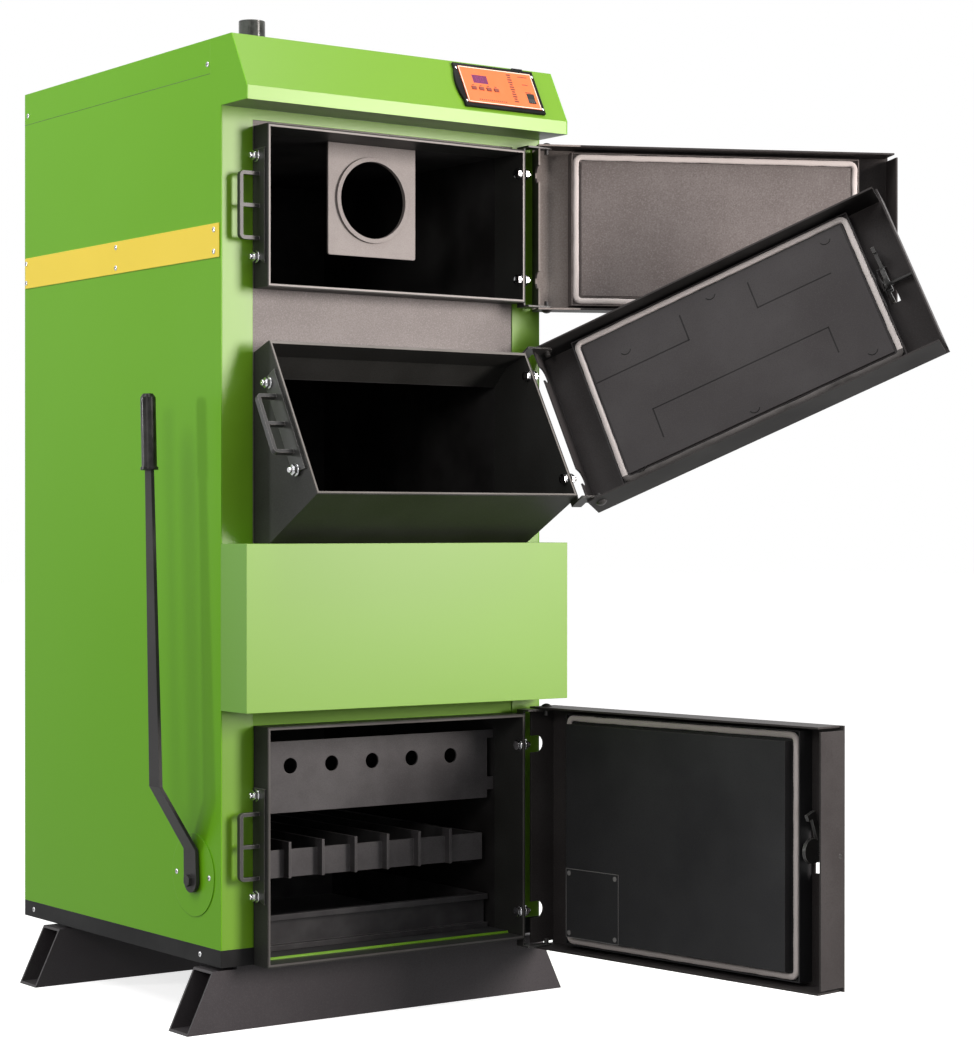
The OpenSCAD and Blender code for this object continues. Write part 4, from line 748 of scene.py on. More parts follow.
class Piece:
    """One object of the scene, put together from swept, turned and bent forms."""

    TURN_STEPS = 24
    HEX_STEPS = 36
    HEX_KEEP = 0.97
    HEX_SLOPE = 0.6
    HEX_FACE = 0.95
    LEAST_SIDE = 0.1

    def __init__(self, name: str) -> None:
        """Starts an empty piece."""
        self.name = name
        self.grid = bmesh.new()

    def rings(self, rows: Sequence[Sequence[Vector]], closed: bool = False) -> None:
        """Joins rows of points, each a closed ring, into a skin.

        Args:
            rows: The rings, all of one length.
            closed: True if the last ring meets the first; otherwise both ends are capped.
        """
        made = [[self.grid.verts.new(point) for point in row] for row in rows]
        count = len(made[0])
        steps = len(made) if closed else len(made) - 1
        for i in range(steps):
            here, there = made[i], made[(i + 1) % len(made)]
            for k in range(count):
                n = (k + 1) % count
                self.grid.faces.new((here[k], here[n], there[n], there[k]))
        if not closed:
            self.grid.faces.new(list(reversed(made[0])))
            self.grid.faces.new(made[-1])

    def turned(self, local: Matrix, outline: Sequence[tuple[float, float]]) -> None:
        """Turns an outline of radius and height pairs about local Z."""
        turns = around(self.TURN_STEPS)
        self.rings([[polar(local, r, a, h) for a in turns] for r, h in outline])

    def hexagon(self, local: Matrix, flats: float, low: float, high: float, crown: Crown) -> None:
        """A hexagon head or nut with its corners turned off.

        Args:
            local: The frame, with local Z along the axis.
            flats: Distance across the flats.
            low: Where it starts.
            high: Where it ends.
            crown: The end that is turned off.
        """
        half = flats / 2
        turns = around(self.HEX_STEPS)
        reach = [half / math.cos((a + math.pi / 6) % (math.pi / 3) - math.pi / 6) for a in turns]
        drop = [(r - half * self.HEX_KEEP) * self.HEX_SLOPE for r in reach]
        flat_end, round_end = (low, high) if crown is Crown.HIGH else (high, low)
        rows = [
            [(r, flat_end) for r in reach],
            [(r, round_end - crown.value * d) for r, d in zip(reach, drop)],
            [(half * self.HEX_FACE, round_end)] * self.HEX_STEPS,
        ]
        if crown is Crown.LOW:
            rows.reverse()
        self.rings([[polar(local, r, a, h) for a, (r, h) in zip(turns, row)] for row in rows])

    def slab(self, local: Matrix, low: Sequence[float], high: Sequence[float], ease: float) -> None:
        """A flat slab with eased edges, from its low to its high corner.

        Args:
            local: The frame.
            low: Lowest corner.
            high: Highest corner.
            ease: Width of the eased edges.
        """
        before = set(self.grid.verts)
        bmesh.ops.create_cube(self.grid, size=1.0)
        fresh = [v for v in self.grid.verts if v not in before]
        for vert in fresh:
            share = [vert.co[i] + 0.5 for i in range(3)]
            vert.co = Vector([low[i] + (high[i] - low[i]) * share[i] for i in range(3)])
        if ease:
            edges = list({edge for vert in fresh for edge in vert.link_edges})
            bmesh.ops.bevel(self.grid, geom=edges, offset=ease, segments=1, affect="EDGES")
        for vert in self.grid.verts:
            if vert not in before:
                vert.co = local @ vert.co

    def bars(self, local: Matrix, y: tuple[float, float], spans: Sequence[Span], ease: float) -> None:
        """Flat bars between two places along local Y, each given by its ends along X, then Z."""
        for x0, x1, z0, z1 in spans:
            self.slab(local, (x0, y[0], z0), (x1, y[1], z1), ease)

    def wire(self, local: Matrix, path: Sequence[Vector], radius: float, sides: int) -> None:
        """A round bar along a path.

        Args:
            local: The frame.
            path: Its local points.
            radius: Its radius.
            sides: Points round it.
        """
        rows = []
        for i, point in enumerate(path):
            ahead = path[min(i + 1, len(path) - 1)] - path[max(i - 1, 0)]
            ahead.normalize()
            side = ahead.cross(Vector(BACK))
            if side.length < self.LEAST_SIDE:
                side = ahead.cross(Vector(UP))
            side.normalize()
            up = side.cross(ahead)
            rows.append([
                local @ (point + radius * (math.cos(a) * side + math.sin(a) * up))
                for a in around(sides)
            ])
        self.rings(rows)

    def done(
        self, finish: Coating, body: str, slot: str, *stands_for: str, smooth: float = 35.0
    ) -> None:
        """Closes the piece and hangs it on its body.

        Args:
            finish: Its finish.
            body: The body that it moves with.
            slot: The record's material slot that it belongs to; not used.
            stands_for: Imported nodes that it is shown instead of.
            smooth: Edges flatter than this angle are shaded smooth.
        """
        bmesh.ops.recalc_face_normals(self.grid, faces=self.grid.faces)
        mesh = bpy.data.meshes.new(self.name)
        self.grid.to_mesh(mesh)
        self.grid.free()
        mesh.materials.append(PALETTE.get(finish))
        mesh.shade_smooth()
        mesh.set_sharp_from_angle(angle=math.radians(smooth))
        made = bpy.data.objects.new(self.name, mesh)
        bpy.context.scene.collection.objects.link(made)
        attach(made, body)
        if stands_for:
            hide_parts(*stands_for)
        LOG.info("%s on %s, %d faces", self.name, body, len(mesh.polygons))


def joint(name: str) -> dict:
    """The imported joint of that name."""
    return next(j for j in frame["joints"] if j["name"] == name)


class Assembly:
    """A sub-assembly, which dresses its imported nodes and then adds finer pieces."""

    def dress(self) -> None:
        """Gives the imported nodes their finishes."""
        raise NotImplementedError

    def build(self) -> None:
        """Adds nothing, where a sub-assembly has no finer pieces."""


@dataclass
class Casing(Assembly):
    """The green sheet casing with its seams, screws, band and base."""

    seam_w: float = 0.9
    seam_proud: float = 0.12
    seam_sunk: float = 0.5
    seam_inset: float = 2.0
    wall_share: float = 0.3
    dome_share: float = 0.65
    dome_steps: int = 6
    recess_w: float = 1.0
    recess_share: float = 0.6
    recess_run: tuple[float, float] = (0.8, 0.985)

    def dress(self) -> None:
        """Paints the casing, the feet and the band."""
        PALETTE.dress(SIDE_GREEN, "left_panel", "right_panel", "rear_panel", "roof_cover", "lever_cover")
        PALETTE.dress(GREEN, "front_frame")
        # The hood's front faces carry a painted sheen and its underside a painted shade.
        lit = ((Zone(FRONT), PAINTED_SHEEN_GREEN), (Zone(DOWN), PAINTED_SHADE_GREEN))
        PALETTE.dress(replace(GREEN, name="hood_green", zones=lit), "hood")
        PALETTE.dress(FASCIA_GREEN, "fascia_cover")
        PALETTE.dress(FOOT_ENAMEL, "front_foot", "rear_foot")
        PALETTE.dress(TRAY_ENAMEL, "base_tray")
        PALETTE.dress(YELLOW, "side_band")

    def build(self) -> None:
        """Adds the screws and the seam lines."""
        self._screws()
        self._seams()

    def _screws(self) -> None:
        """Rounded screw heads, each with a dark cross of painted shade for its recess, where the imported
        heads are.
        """
        piece = Piece("casing_screw_heads")
        cross = Piece("painted_recess_shades")
        for low, high in islands("casing_screws"):
            local = sideways(low, high)
            radius, rise = (high.z - low.z) / 2 / MM, (high.x - low.x) / MM
            wall = self.wall_share * rise
            dome = [(radius, 0.0), (radius, wall)]
            for k in range(1, self.dome_steps):
                angle = math.pi / 2 * k / self.dome_steps
                dome.append((radius * math.cos(angle), wall + self.dome_share * rise * math.sin(angle)))
            piece.turned(local, dome)
            arm, half = radius * self.recess_share, self.recess_w / 2
            foot, top = (rise * share for share in self.recess_run)
            for x, y in ((arm, half), (half, arm)):
                cross.slab(local, (-x, -y, foot), (x, y, top), 0.0)
        piece.done(ZINC, "root", "bolt_steel", "casing_screws")
        cross.done(RECESS_SHADE, "root", "bolt_steel")

    def _seams(self) -> None:
        """Thin dark lines where two sheets meet."""
        piece = Piece("casing_seams")
        local = upright()
        low, high = extent("roof_cover", local)
        z0, z1 = low.z - self.seam_w / 2, low.z + self.seam_w / 2
        for side, edge in ((-1, low.x), (1, high.x)):
            x0, x1 = sorted((edge - side * self.seam_sunk, edge + side * self.seam_proud))
            piece.slab(local, (x0, low.y, z0), (x1, high.y, z1), HAIR_EASE)
        y0, y1 = high.y - self.seam_sunk, high.y + self.seam_proud
        x0, x1 = low.x + self.seam_inset, high.x - self.seam_inset
        piece.slab(local, (x0, y0, z0), (x1, y1, z1), HAIR_EASE)
        piece.done(SEAM, "root", "green_panel")


@dataclass
class Vessel(Assembly):
    """The welded steel vessel with its mouths, pipes and linings."""

    thread_pitch: float = 2.3
    thread_depth: float = 1.1
    thread_l: float = 24.0
    thread_steps: int = 40
    thread_start: float = 1.3
    flank_share: float = 0.42
    crest_gap: float = 0.05
    crest_half: float = 0.25
    wool_ruffle: float = 0.9
    wool_edge: float = 0.06
    wool_cuts: int = 3
    wool_waves: float = 30.0
    washer_r: float = 10.0
    washer_t: float = 1.6
    washer_ease: float = 0.3
    shank_r: float = 5.0
    shank_sunk: float = 0.5
    tip_ease: float = 1.0
    flats: float = 16.0
    head_t: float = 6.4
    nut_t: float = 8.0
    end_l: float = 6.0
    wall_t: float = 5.0
    rim_w: float = 3.0

    def dress(self) -> None:
        """Gives the plates, pipes and linings their finishes."""
        PALETTE.dress(MILL_PLATE, "boiler_shell")
        PALETTE.dress(SOOT_AND_SHADE, "fuel_chamber", "grate_bearers")
        lean = tuple(joint("middle_door_hinge")["axis"])
        for node, way, rim in (
            ("upper_collar", UP, RIM_STEEL), ("lower_collar", UP, DARK_RIM),
            ("loading_chute", lean, DULL_RIM),
        ):
            PALETTE.dress(self._rimmed(node, way, rim), node)
        PALETTE.dress(FLUE_PLATE, "flue_plate")
        PALETTE.dress(FIRE_IRON, "air_plate")
        PALETTE.dress(PIPE_STEEL, "flue_spigot", "supply_stub", "return_stub", "drain_socket")
        PALETTE.dress(BLACK_STEEL, "door_catches", "hinge_brackets")
        PALETTE.dress(PIN_STEEL, "hinge_pins")

    def build(self) -> None:
        """Adds bolts, threads and the wool."""
        self._bolts()
        self._threads()
        self._wool()

    def _rimmed(self, node: str, up: Way, rim: Finish) -> Finish:
        """The collar's finish with a pale line round the inner edge of its mouth.

        Args:
            node: The collar.
            up: Direction up along its mouth.
            rim: Finish of the line.

        Returns:
            The finish.
        """
        out = (0.0, -up[2], up[1])
        local = axes(ORIGIN, RIGHT, [-part for part in out], up)
        low, high = extent(node, local)
        inset = self.wall_t - self.rim_w
        spans = (
            (RIGHT, (low.x + inset) * MM, (high.x - inset) * MM),
            (up, (low.z + inset) * MM, (high.z - inset) * MM),
        )
        return replace(COLLAR_ENAMEL, name=f"{node}_enamel", zones=((Zone(out, spans), rim),))

    def _bolts(self) -> None:
        """Hexagon bolts with washers and nuts through the mouths' walls."""
        piece = Piece("mouth_bolts")
        for low, high in islands("bracket_bolts"):
            local = sideways(low, high)
            end = (high.x - low.x) / MM
            neck = self.head_t - self.washer_t
            seat = end - self.end_l - self.nut_t
            piece.hexagon(local, self.flats, 0.0, neck, Crown.LOW)
            self._washer(piece, local, neck)
            piece.turned(local, [
                (self.shank_r, self.head_t - self.shank_sunk), (self.shank_r, end - self.tip_ease),
                (self.shank_r - self.tip_ease, end),
            ])
            self._washer(piece, local, seat)
            piece.hexagon(local, self.flats, seat + self.washer_t, seat + self.nut_t, Crown.HIGH)
        piece.done(ZINC, "root", "bolt_steel", "bracket_bolts")

    def _washer(self, piece: Piece, local: Matrix, low: float) -> None:
        """One flat washer with eased edges.

        Args:
            piece: The piece that it goes into.
            local: The bolt's frame.
            low: Where it starts along the bolt.
        """
        ease, high = self.washer_ease, low + self.washer_t
        piece.turned(local, [
            (self.shank_r, low), (self.washer_r - ease, low), (self.washer_r, low + ease),
            (self.washer_r, high - ease), (self.washer_r - ease, high), (self.shank_r, high),
        ])

    def _threads(self) -> None:
        """Cut threads over the ends of the two pipe stubs."""
        piece = Piece("pipe_threads")
        low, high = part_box("supply_stub")
        middle = (Vector(low) + Vector(high)) / 2
        top = upright((middle.x, middle.y, high[2]))
        radius = (high[0] - low[0]) / 2 / MM
        self._thread(piece, top, radius)
        low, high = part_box("return_stub")
        middle = (Vector(low) + Vector(high)) / 2
        self._thread(piece, axes((middle.x, high[1], middle.z), RIGHT, DOWN, BACK), radius)
        piece.done(PIPE_STEEL, "root", "pipe", smooth=60.0)

    def _thread(self, piece: Piece, local: Matrix, radius: float) -> None:
        """One helical ridge from the pipe's end down its threaded length.

        Args:
            piece: The piece that it goes into.
            local: The frame at the pipe's end, with Z out of it.
            radius: The pipe's outer radius.
        """
        steps = self.thread_steps
        turns = int(self.thread_l / self.thread_pitch) - 1
        crest, root = radius - self.crest_gap, radius - self.thread_depth
        flank, half = self.thread_pitch * self.flank_share, self.crest_half
        rows = []
        for k in range(turns * steps + 1):
            angle = 2 * math.pi * k / steps
            z = -self.thread_pitch * (k / steps) - self.thread_start
            points = ((root, z - flank), (crest, z - half), (crest, z + half), (root, z + flank))
            rows.append([polar(local, r, angle, h) for r, h in points])
        piece.rings(rows)

    def _wool(self) -> None:
        """The wool jacket with a ruffled face, in place of its plain block."""
        piece = Piece("wool_jacket")
        piece.grid.from_mesh(frame["nodes"]["insulation"].data)
        bmesh.ops.remove_doubles(piece.grid, verts=piece.grid.verts, dist=WELD)
        bmesh.ops.triangulate(piece.grid, faces=piece.grid.faces)
        for _ in range(self.wool_cuts):
            long_edges = [e for e in piece.grid.edges if e.calc_length() > self.wool_edge]
            bmesh.ops.subdivide_edges(piece.grid, edges=long_edges, cuts=1)
            bmesh.ops.triangulate(piece.grid, faces=piece.grid.faces)
        piece.grid.normal_update()
        for vert in piece.grid.verts:
            depth = (noise.noise(vert.co * self.wool_waves) - 1.0) * 0.5 * self.wool_ruffle * MM
            vert.co += vert.normal * depth
        piece.done(WOOL, "root", "wool", "insulation", smooth=SOFT_TURN)


@dataclass
class Door(Assembly):
    """One open door: pressed tray, inner plate, gasket rope, hook and handle."""

    level: Level
    plate: Finish
    lane_w: float = 12.0
    rope_w: float = 10.6
    wander: float = 0.5
    drift_waves: float = 9.0
    swell_waves: float = 14.0
    squareness: float = 0.8
    strand: float = 6.5
    braid_depth: float = 0.4
    sides: int = 20
    bend_steps: int = 8
    step: float = 1.6
    corner: float = 10.0
    plate_lip: float = 1.5
    line_w: float = 2.4
    line_proud: float = 0.12
    line_sunk: float = 0.5
    line_ease: float = 0.08

    @property
    def name(self) -> str:
        """The word that the door's pieces are named by."""
        return self.level.value

    def frame(self) -> Matrix:
        """The door's own millimetre frame at its hinge, with Y towards the mouth's inside.

        Returns:
            The frame.
        """
        hinge = joint(f"{self.name}_door_hinge")
        up = Vector(hinge["axis"]).normalized()
        across = -Vector(joint(f"{self.name}_latch")["axis"]).normalized()
        return axes(hinge["pos_m"], across, up.cross(across), up)

    def dress(self) -> None:
        """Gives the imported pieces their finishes."""
        PALETTE.dress(self.tray_finish(), f"{self.name}_door_tray")
        PALETTE.dress(self.plate, f"{self.name}_door_liner")
        PALETTE.dress(BLACK_STEEL, f"{self.name}_handle", f"{self.name}_hook")

    def tray_finish(self) -> Finish:
        """The finish of the pressed tray."""
        return DOOR_ENAMEL

    def rope_finish(self) -> GlassRope:
        """The finish of the gasket rope."""
        return ROPE

    def way(self, across: float, inward: float, up: float) -> Way:
        """A unit vector of the row frame from its parts along the door's own axes."""
        return tuple(unit(self.frame(), across, inward, up))

    def reach(self, way: Way) -> float:
        """How far along a direction the hinge lies, in metres."""
        return Vector(joint(f"{self.name}_door_hinge")["pos_m"]).dot(Vector(way))

    def build(self) -> None:
        """Lays the braided gasket rope into its channel."""
        local = self.frame()
        node = f"{self.name}_door_rope"
        low, high = extent(node, local)
        path = self._loop(low, high, self.lane_w / 2)
        length = sum((b[0] - a[0]).length for a, b in zip(path, path[1:] + path[:1]))
        waves = 2 * round(length / self.strand / 2)
        rows = []
        run = 0.0
        for i, (point, outward) in enumerate(path):
            share = run / length
            rows.append([
                local @ (point + outward * w + Vector((0, t, 0)))
                for w, t in self._ring(share, math.pi * waves * share, (high.y - low.y) / 2)
            ])
            run += (path[(i + 1) % len(path)][0] - point).length
        piece = Piece(f"{self.name}_gasket_rope")
        piece.rings(rows, closed=True)
        piece.done(self.rope_finish(), f"{self.name}_door", "rope", node, smooth=SOFT_TURN)

    def _ring(self, share: float, phase: float, half_t: float) -> list[tuple[float, float]]:
        """The rope's outline in one place, squared off and dented by its braid.

        Args:
            share: How far along the loop the place is, from 0 to 1.
            phase: Turn of the braid there.
            half_t: Half the rope's thickness.

        Returns:
            How far each point lies outward and inward from the rope's middle.
        """
        half_w = self.rope_w / 2
        turn = 2 * math.pi * share
        lap = (math.cos(turn), math.sin(turn))
        drift = noise.noise(Vector((*lap, half_t)) * self.drift_waves) * self.wander
        swell = noise.noise(Vector((*reversed(lap), half_w)) * self.swell_waves) * self.wander
        ring = []
        for angle in around(self.sides):
            c, s = math.cos(angle), math.sin(angle)
            weave = abs(math.sin(phase + 2 * angle)) * abs(math.sin(phase - 2 * angle))
            inset = self.braid_depth * (1 - math.sqrt(weave))
            w = math.copysign(abs(c) ** self.squareness, c) * (half_w + swell - inset) + drift
            ring.append((w, math.copysign(abs(s) ** self.squareness, s) * (half_t - inset)))
        return ring

    def line(self, piece: Piece, face: float, start: tuple[float, float], end: tuple[float, float]) -> None:
        """Draws one thin line on the plate, along the door's own X or Z.

        Args:
            piece: The piece that it goes into.
            face: Where the plate's face is along the door's own Y.
            start: Its first end, as X and Z.
            end: Its other end.
        """
        half = self.line_w / 2
        (x0, x1), (z0, z1) = (sorted(pair) for pair in zip(start, end))
        y = (face - self.line_sunk, face + self.line_proud)
        piece.bars(self.frame(), y, [(x0 - half, x1 + half, z0 - half, z1 + half)], self.line_ease)

    def _loop(self, low: Vector, high: Vector, half_w: float) -> list[tuple[Vector, Vector]]:
        """Points and outward directions along the rope's rounded rectangle.

        Args:
            low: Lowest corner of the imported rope.
            high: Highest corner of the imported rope.
            half_w: Half the rope's width.

        Returns:
            The loop's points, each with its outward direction.
        """
        y = (low.y + high.y) / 2
        r = self.corner
        x0, x1 = low.x + half_w, high.x - half_w
        z0, z1 = low.z + half_w, high.z - half_w
        centres = [(x1 - r, z1 - r), (x0 + r, z1 - r), (x0 + r, z0 + r), (x1 - r, z0 + r)]
        loop = []
        for i, (x, z) in enumerate(centres):
            for k in range(self.bend_steps + 1):
                angle = math.radians(90.0 * i + 90.0 * k / self.bend_steps)
                out = Vector((math.cos(angle), 0, math.sin(angle)))
                loop.append((Vector((x, y, z)) + out * r, out))
            x, z = centres[(i + 1) % 4]
            begin, end = loop[-1][0], Vector((x, y, z)) + out * r
            count = int((end - begin).length / self.step)
            loop += [(begin.lerp(end, k / count), out) for k in range(1, count)]
        return loop


@dataclass
class UpperDoor(Door):
    """The flue passage's door; its tray is bare beside the hinges, as its plate is."""

    bare_w: float = 74.0

    def tray_finish(self) -> Finish:
        """The tray's finish, bare and speckled between the hinge edge and the channel, and lightened there
        as painted light against the shade of the recess.

        Returns:
            The finish.
        """
        _, high = extent("upper_door_tray", self.frame())
        across = self.way(1, 0, 0)
        edge = self.reach(across) + high.x * MM
        zone = Zone(self.way(0, 1, 0), ((across, edge - self.bare_w * MM, edge),))
        return replace(DOOR_ENAMEL, name="upper_tray_enamel", zones=((zone, LIGHTENED_BARE_TRAY),))


@dataclass
class MiddleDoor(Door):
    """The chute's door, with pressed lines and six small crescents in its plate, drawn over in painted
    shade.
    """

    crescents: tuple[tuple[float, float], ...] = (
        (6, 257), (-210, 251), (5, 30), (-209, 29), (174, 56), (221, 268),
    )
    crescent_r: float = 9.0
    crescent_wire: float = 0.8
    wire_sides: int = 6
    crescent_arc: tuple[float, float] = (200.0, 140.0)
    crescent_steps: int = 10
    bends: tuple[tuple[tuple[float, float], ...], ...] = (
        ((240, 91), (66, 91), (66, 42)), ((-196, 91), (-62, 91), (-62, 41)),
        ((-158, 229), (-158, 180), (166, 180), (166, 235)),
    )
    painted_shade_run: tuple[float, float] = (-10.0, 15.0)

    def tray_finish(self) -> Finish:
        """The tray's finish, with painted shade on the underside."""
        painted_shade_below = ((Zone(self.way(0, 0, -1)), SOOT_AND_SHADE),)
        return replace(DOOR_ENAMEL, name="middle_tray_enamel", zones=painted_shade_below)

    def rope_finish(self) -> GlassRope:
        """Pale rope with painted shade along the mouth's lower edge.

        Returns:
            The finish.
        """
        up = self.way(0, 0, 1)
        low, _ = extent("middle_door_rope", self.frame())
        start, end = (self.reach(up) + (low.z + rise) * MM for rise in self.painted_shade_run)
        zone = Zone(spans=((up, start, end),))
        return replace(ROPE, name="painted_shade_rope", painted_shade_zone=zone)

    def build(self) -> None:
        """Adds the rope, and dark strips and arcs of painted shade along the pressed lines and crescents.
        """
        super().build()
        local = self.frame()
        low, high = extent("middle_door_liner", local)
        centre_x = (low.x + high.x) / 2
        top = high.z - self.plate_lip
        piece = Piece("painted_groove_shade_marks")
        for x, drop in self.crescents:
            centre = Vector((centre_x + x, high.y, top - drop))
            begin, sweep = self.crescent_arc
            count = self.crescent_steps
            turns = (math.radians(begin + sweep * k / count) for k in range(count + 1))
            path = [centre + self.crescent_r * Vector((math.cos(a), 0, math.sin(a))) for a in turns]
            piece.wire(local, path, self.crescent_wire, self.wire_sides)
        for bend in self.bends:
            ends = [(centre_x + x, top - drop) for x, drop in bend]
            for start, end in zip(ends, ends[1:]):
                self.line(piece, high.y, start, end)
        piece.done(GROOVE_SHADE_LINE, "middle_door", "liner_black")


@dataclass
class LowerDoor(Door):
    """The ash door, with a riveted patch low on its plate's hinge side."""

    patch_x: tuple[float, float] = (118.5, 242.5)
    patch_z: tuple[float, float] = (15.5, 133.5)
    patch_y: float = 14.0
    patch_sunk: float = 0.4
    patch_line_w: float = 1.0
    rivet_inset: float = 8.0
    rivet_profile: tuple[tuple[float, float], ...] = ((4.5, -0.4), (4.1, 0.05), (0.5, 0.15))

    def build(self) -> None:
        """Adds the rope, a painted highlight along the patch's edge and its rivets' heads."""
        super().build()
        local = self.frame()
        low, high = extent("lower_door_liner", local)
        centre_x = (low.x + high.x) / 2
        x = [centre_x + value for value in self.patch_x]
        z = [low.z + self.plate_lip + value for value in self.patch_z]
        # The line round the patch is a painted highlight; the rivets share its grey.
        piece = Piece("patch_highlight_and_rivets")
        y = (self.patch_y - self.patch_sunk, self.patch_y + self.line_proud)
        piece.bars(local, y, border(*x, *z, self.patch_line_w), FINE_EASE)
        for rx in (x[0] + self.rivet_inset, x[1] - self.rivet_inset):
            for rz in (z[0] + self.rivet_inset, z[1] - self.rivet_inset):
                foot = local @ Vector((rx, high.y, rz))
                head = axes(foot, self.way(1, 0, 0), self.way(0, 0, -1), self.way(0, 1, 0))
                piece.turned(head, self.rivet_profile)
        piece.done(PATCH_HIGHLIGHT_AND_RIVET, "lower_door", "liner_black")


@dataclass
class ControlPanel(Assembly):
    """The control panel in the hood's sloping face."""

    line_w: float = 1.5
    line_inset: float = 0.4
    proud: float = 0.15
    sunk: float = 0.3
    screw_profile: tuple[tuple[float, float], ...] = ((2.4, -0.3), (2.4, 0.5), (1.92, 1.0), (0.6, 1.3))
    screw_places: tuple[tuple[float, float], ...] = ((-3.4, -4.0), (-2.4, 3.0), (3.4, -4.0), (3.4, 2.0))
    mark_share: float = 0.6
    keys: tuple[str, ...] = ("button_1", "button_2", "button_3", "button_4")
    column_share: float = 0.645
    column_w: float = 9.0
    column_top: float = 6.0
    column_rows: int = 12
    row_step: float = 5.0
    row_h: float = 3.2
    row_inset: float = 1.2
    rows_in_group: int = 3
    dash_half: float = 2.4
    dash_run: tuple[float, float] = (2.6, 4.4)
    foot_marks: int = 14
    foot_start: float = 24.0
    foot_step: float = 4.2
    foot_w: float = 2.6
    foot_run: tuple[float, float] = (6.0, 8.4)
    side_marks: tuple[Way, ...] = ((0.8, 0.93, 8.0), (0.83, 0.91, 24.0), (0.84, 0.92, 40.0))
    side_h: float = 1.8
    digit_w: float = 5.6
    digit_share: float = 0.6
    digit_bar: float = 1.0
    digit_proud: float = 0.05
    digit_sunk: float = 0.1
    digits: tuple[tuple[str, float], ...] = (("afedcg", 7.5), ("abcdef", 16.5))

    def frame(self) -> Matrix:
        """The sloping face's millimetre frame, with Y into the hood."""
        inward = Vector(joint("button_1_press")["axis"]).normalized()
        return axes(ORIGIN, RIGHT, inward, Vector(RIGHT).cross(inward))

    def dress(self) -> None:
        """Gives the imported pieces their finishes."""
        PALETTE.dress(MOULDING, "controller_housing")
        PALETTE.dress(ORANGE, "controller_plate")
        PALETTE.dress(DISPLAY, "display_window")
        PALETTE.dress(ROCKER, "rocker_switch")
        PALETTE.dress(KEY, *self.keys)

    def build(self) -> None:
        """Adds the outline, screws, digits and plain marks."""
        self._outline()
        self._corner_screws()
        self._marks()
        self._digits()

    def _outline(self) -> None:
        """The pale line round the plate."""
        local = self.frame()
        low, high = extent("controller_plate", local)
        piece = Piece("panel_outline")
        a = self.line_inset
        edge = border(low.x + a, high.x - a, low.z + a, high.z - a, self.line_w)
        piece.bars(local, (low.y - self.proud, low.y + self.sunk), edge, HAIR_EASE)
        piece.done(WHITE_INK, "root", "controller_face")

    def _corner_screws(self) -> None:
        """Four bright screws in the bezel beside the plate's corners."""
        local = self.frame()
        low, high = extent("controller_plate", local)
        piece = Piece("panel_screws")
        for x, z in self.screw_places:
            near = ((low if x < 0 else high).x + x, high.y, (high if z < 0 else low).z + z)
            out = axes(local @ Vector(near), RIGHT, unit(local, 0, 0, 1), unit(local, 0, -1, 0))
            piece.turned(out, self.screw_profile)
        piece.done(ZINC, "root", "bolt_steel")

    def _marks(self) -> None:
        """Plain bars in place of the panel's wording."""
        local = self.frame()
        low, high = extent("controller_plate", local)
        width = high.x - low.x
        left = low.x + width * self.column_share
        bars = []
        for k in range(self.column_rows):
            top = high.z - self.column_top - k * self.row_step
            inset = self.row_inset if k % self.rows_in_group == 1 else 0.0
            bars.append((left + inset, left + self.column_w - inset, top - self.row_h, top))
        for key in self.keys:
            key_low, key_high = extent(key, local)
            x = (key_low.x + key_high.x) / 2
            run = (key_high.z + rise for rise in self.dash_run)
            bars.append((x - self.dash_half, x + self.dash_half, *run))
        for k in range(self.foot_marks):
            x = low.x + self.foot_start + k * self.foot_step
            bars.append((x, x + self.foot_w, *(low.z + rise for rise in self.foot_run)))
        for start, end, drop in self.side_marks:
            top = high.z - drop
            bars.append((low.x + width * start, low.x + width * end, top - self.side_h, top))
        piece = Piece("panel_marks")
        piece.bars(local, (low.y - self.proud * self.mark_share, low.y + self.sunk), bars, FINE_EASE)
        piece.done(DARK_INK, "root", "controller_face")

    def _digits(self) -> None:
        """Two seven-segment digits showing a water temperature of 60."""
        local = self.frame()
        piece = Piece("display_digits")
        low, high = extent("display_window", local)
        tall, bar = (high.z - low.z) * self.digit_share, self.digit_bar
        y = (low.y - self.digit_proud, low.y + self.digit_sunk)
        middle = (low.z + high.z) / 2
        top, bottom = middle + tall / 2, middle - tall / 2
        for segments, start in self.digits:
            left = low.x + start
            right = left + self.digit_w
            bars = {
                "a": (left, right, top - bar, top), "d": (left, right, bottom, bottom + bar),
                "g": (left, right, middle - bar / 2, middle + bar / 2),
                "f": (left, left + bar, middle, top), "e": (left, left + bar, bottom, middle),
                "b": (right - bar, right, middle, top), "c": (right - bar, right, bottom, middle),
            }
            piece.bars(local, y, [bars[name] for name in segments], HAIR_EASE)
        piece.done(DIGIT, "root", "display")


@dataclass
class FireParts(Assembly):
    """Grate and ash pan behind the lower door, and the blower behind the fascia."""

    face_d: float = 22.0
    depth: float = 1000.0

    def dress(self) -> None:
        """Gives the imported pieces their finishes."""
        face_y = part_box("rocking_grate")[0][1] + self.face_d * MM
        # Behind its front face the grate darkens as painted shade.
        behind = Zone(spans=((BACK, face_y, face_y + self.depth * MM),))
        PALETTE.dress(replace(FIRE_IRON, name="grate_iron", zones=((behind, PAINTED_SHADE_IRON),)), "rocking_grate")
        PALETTE.dress(PAN_IRON, "ash_pan")
        PALETTE.dress(ALLOY, "blower_housing", "blower_wheel")
        PALETTE.dress(MOTOR, "blower_motor")


@dataclass
class Shaker(Assembly):
    """The shaker lever at the casing's left side."""

    def dress(self) -> None:
        """Gives the bar and the grip their finishes."""
        PALETTE.dress(LEVER_STEEL, "shaker_lever")
        PALETTE.dress(GRIP, "lever_grip")


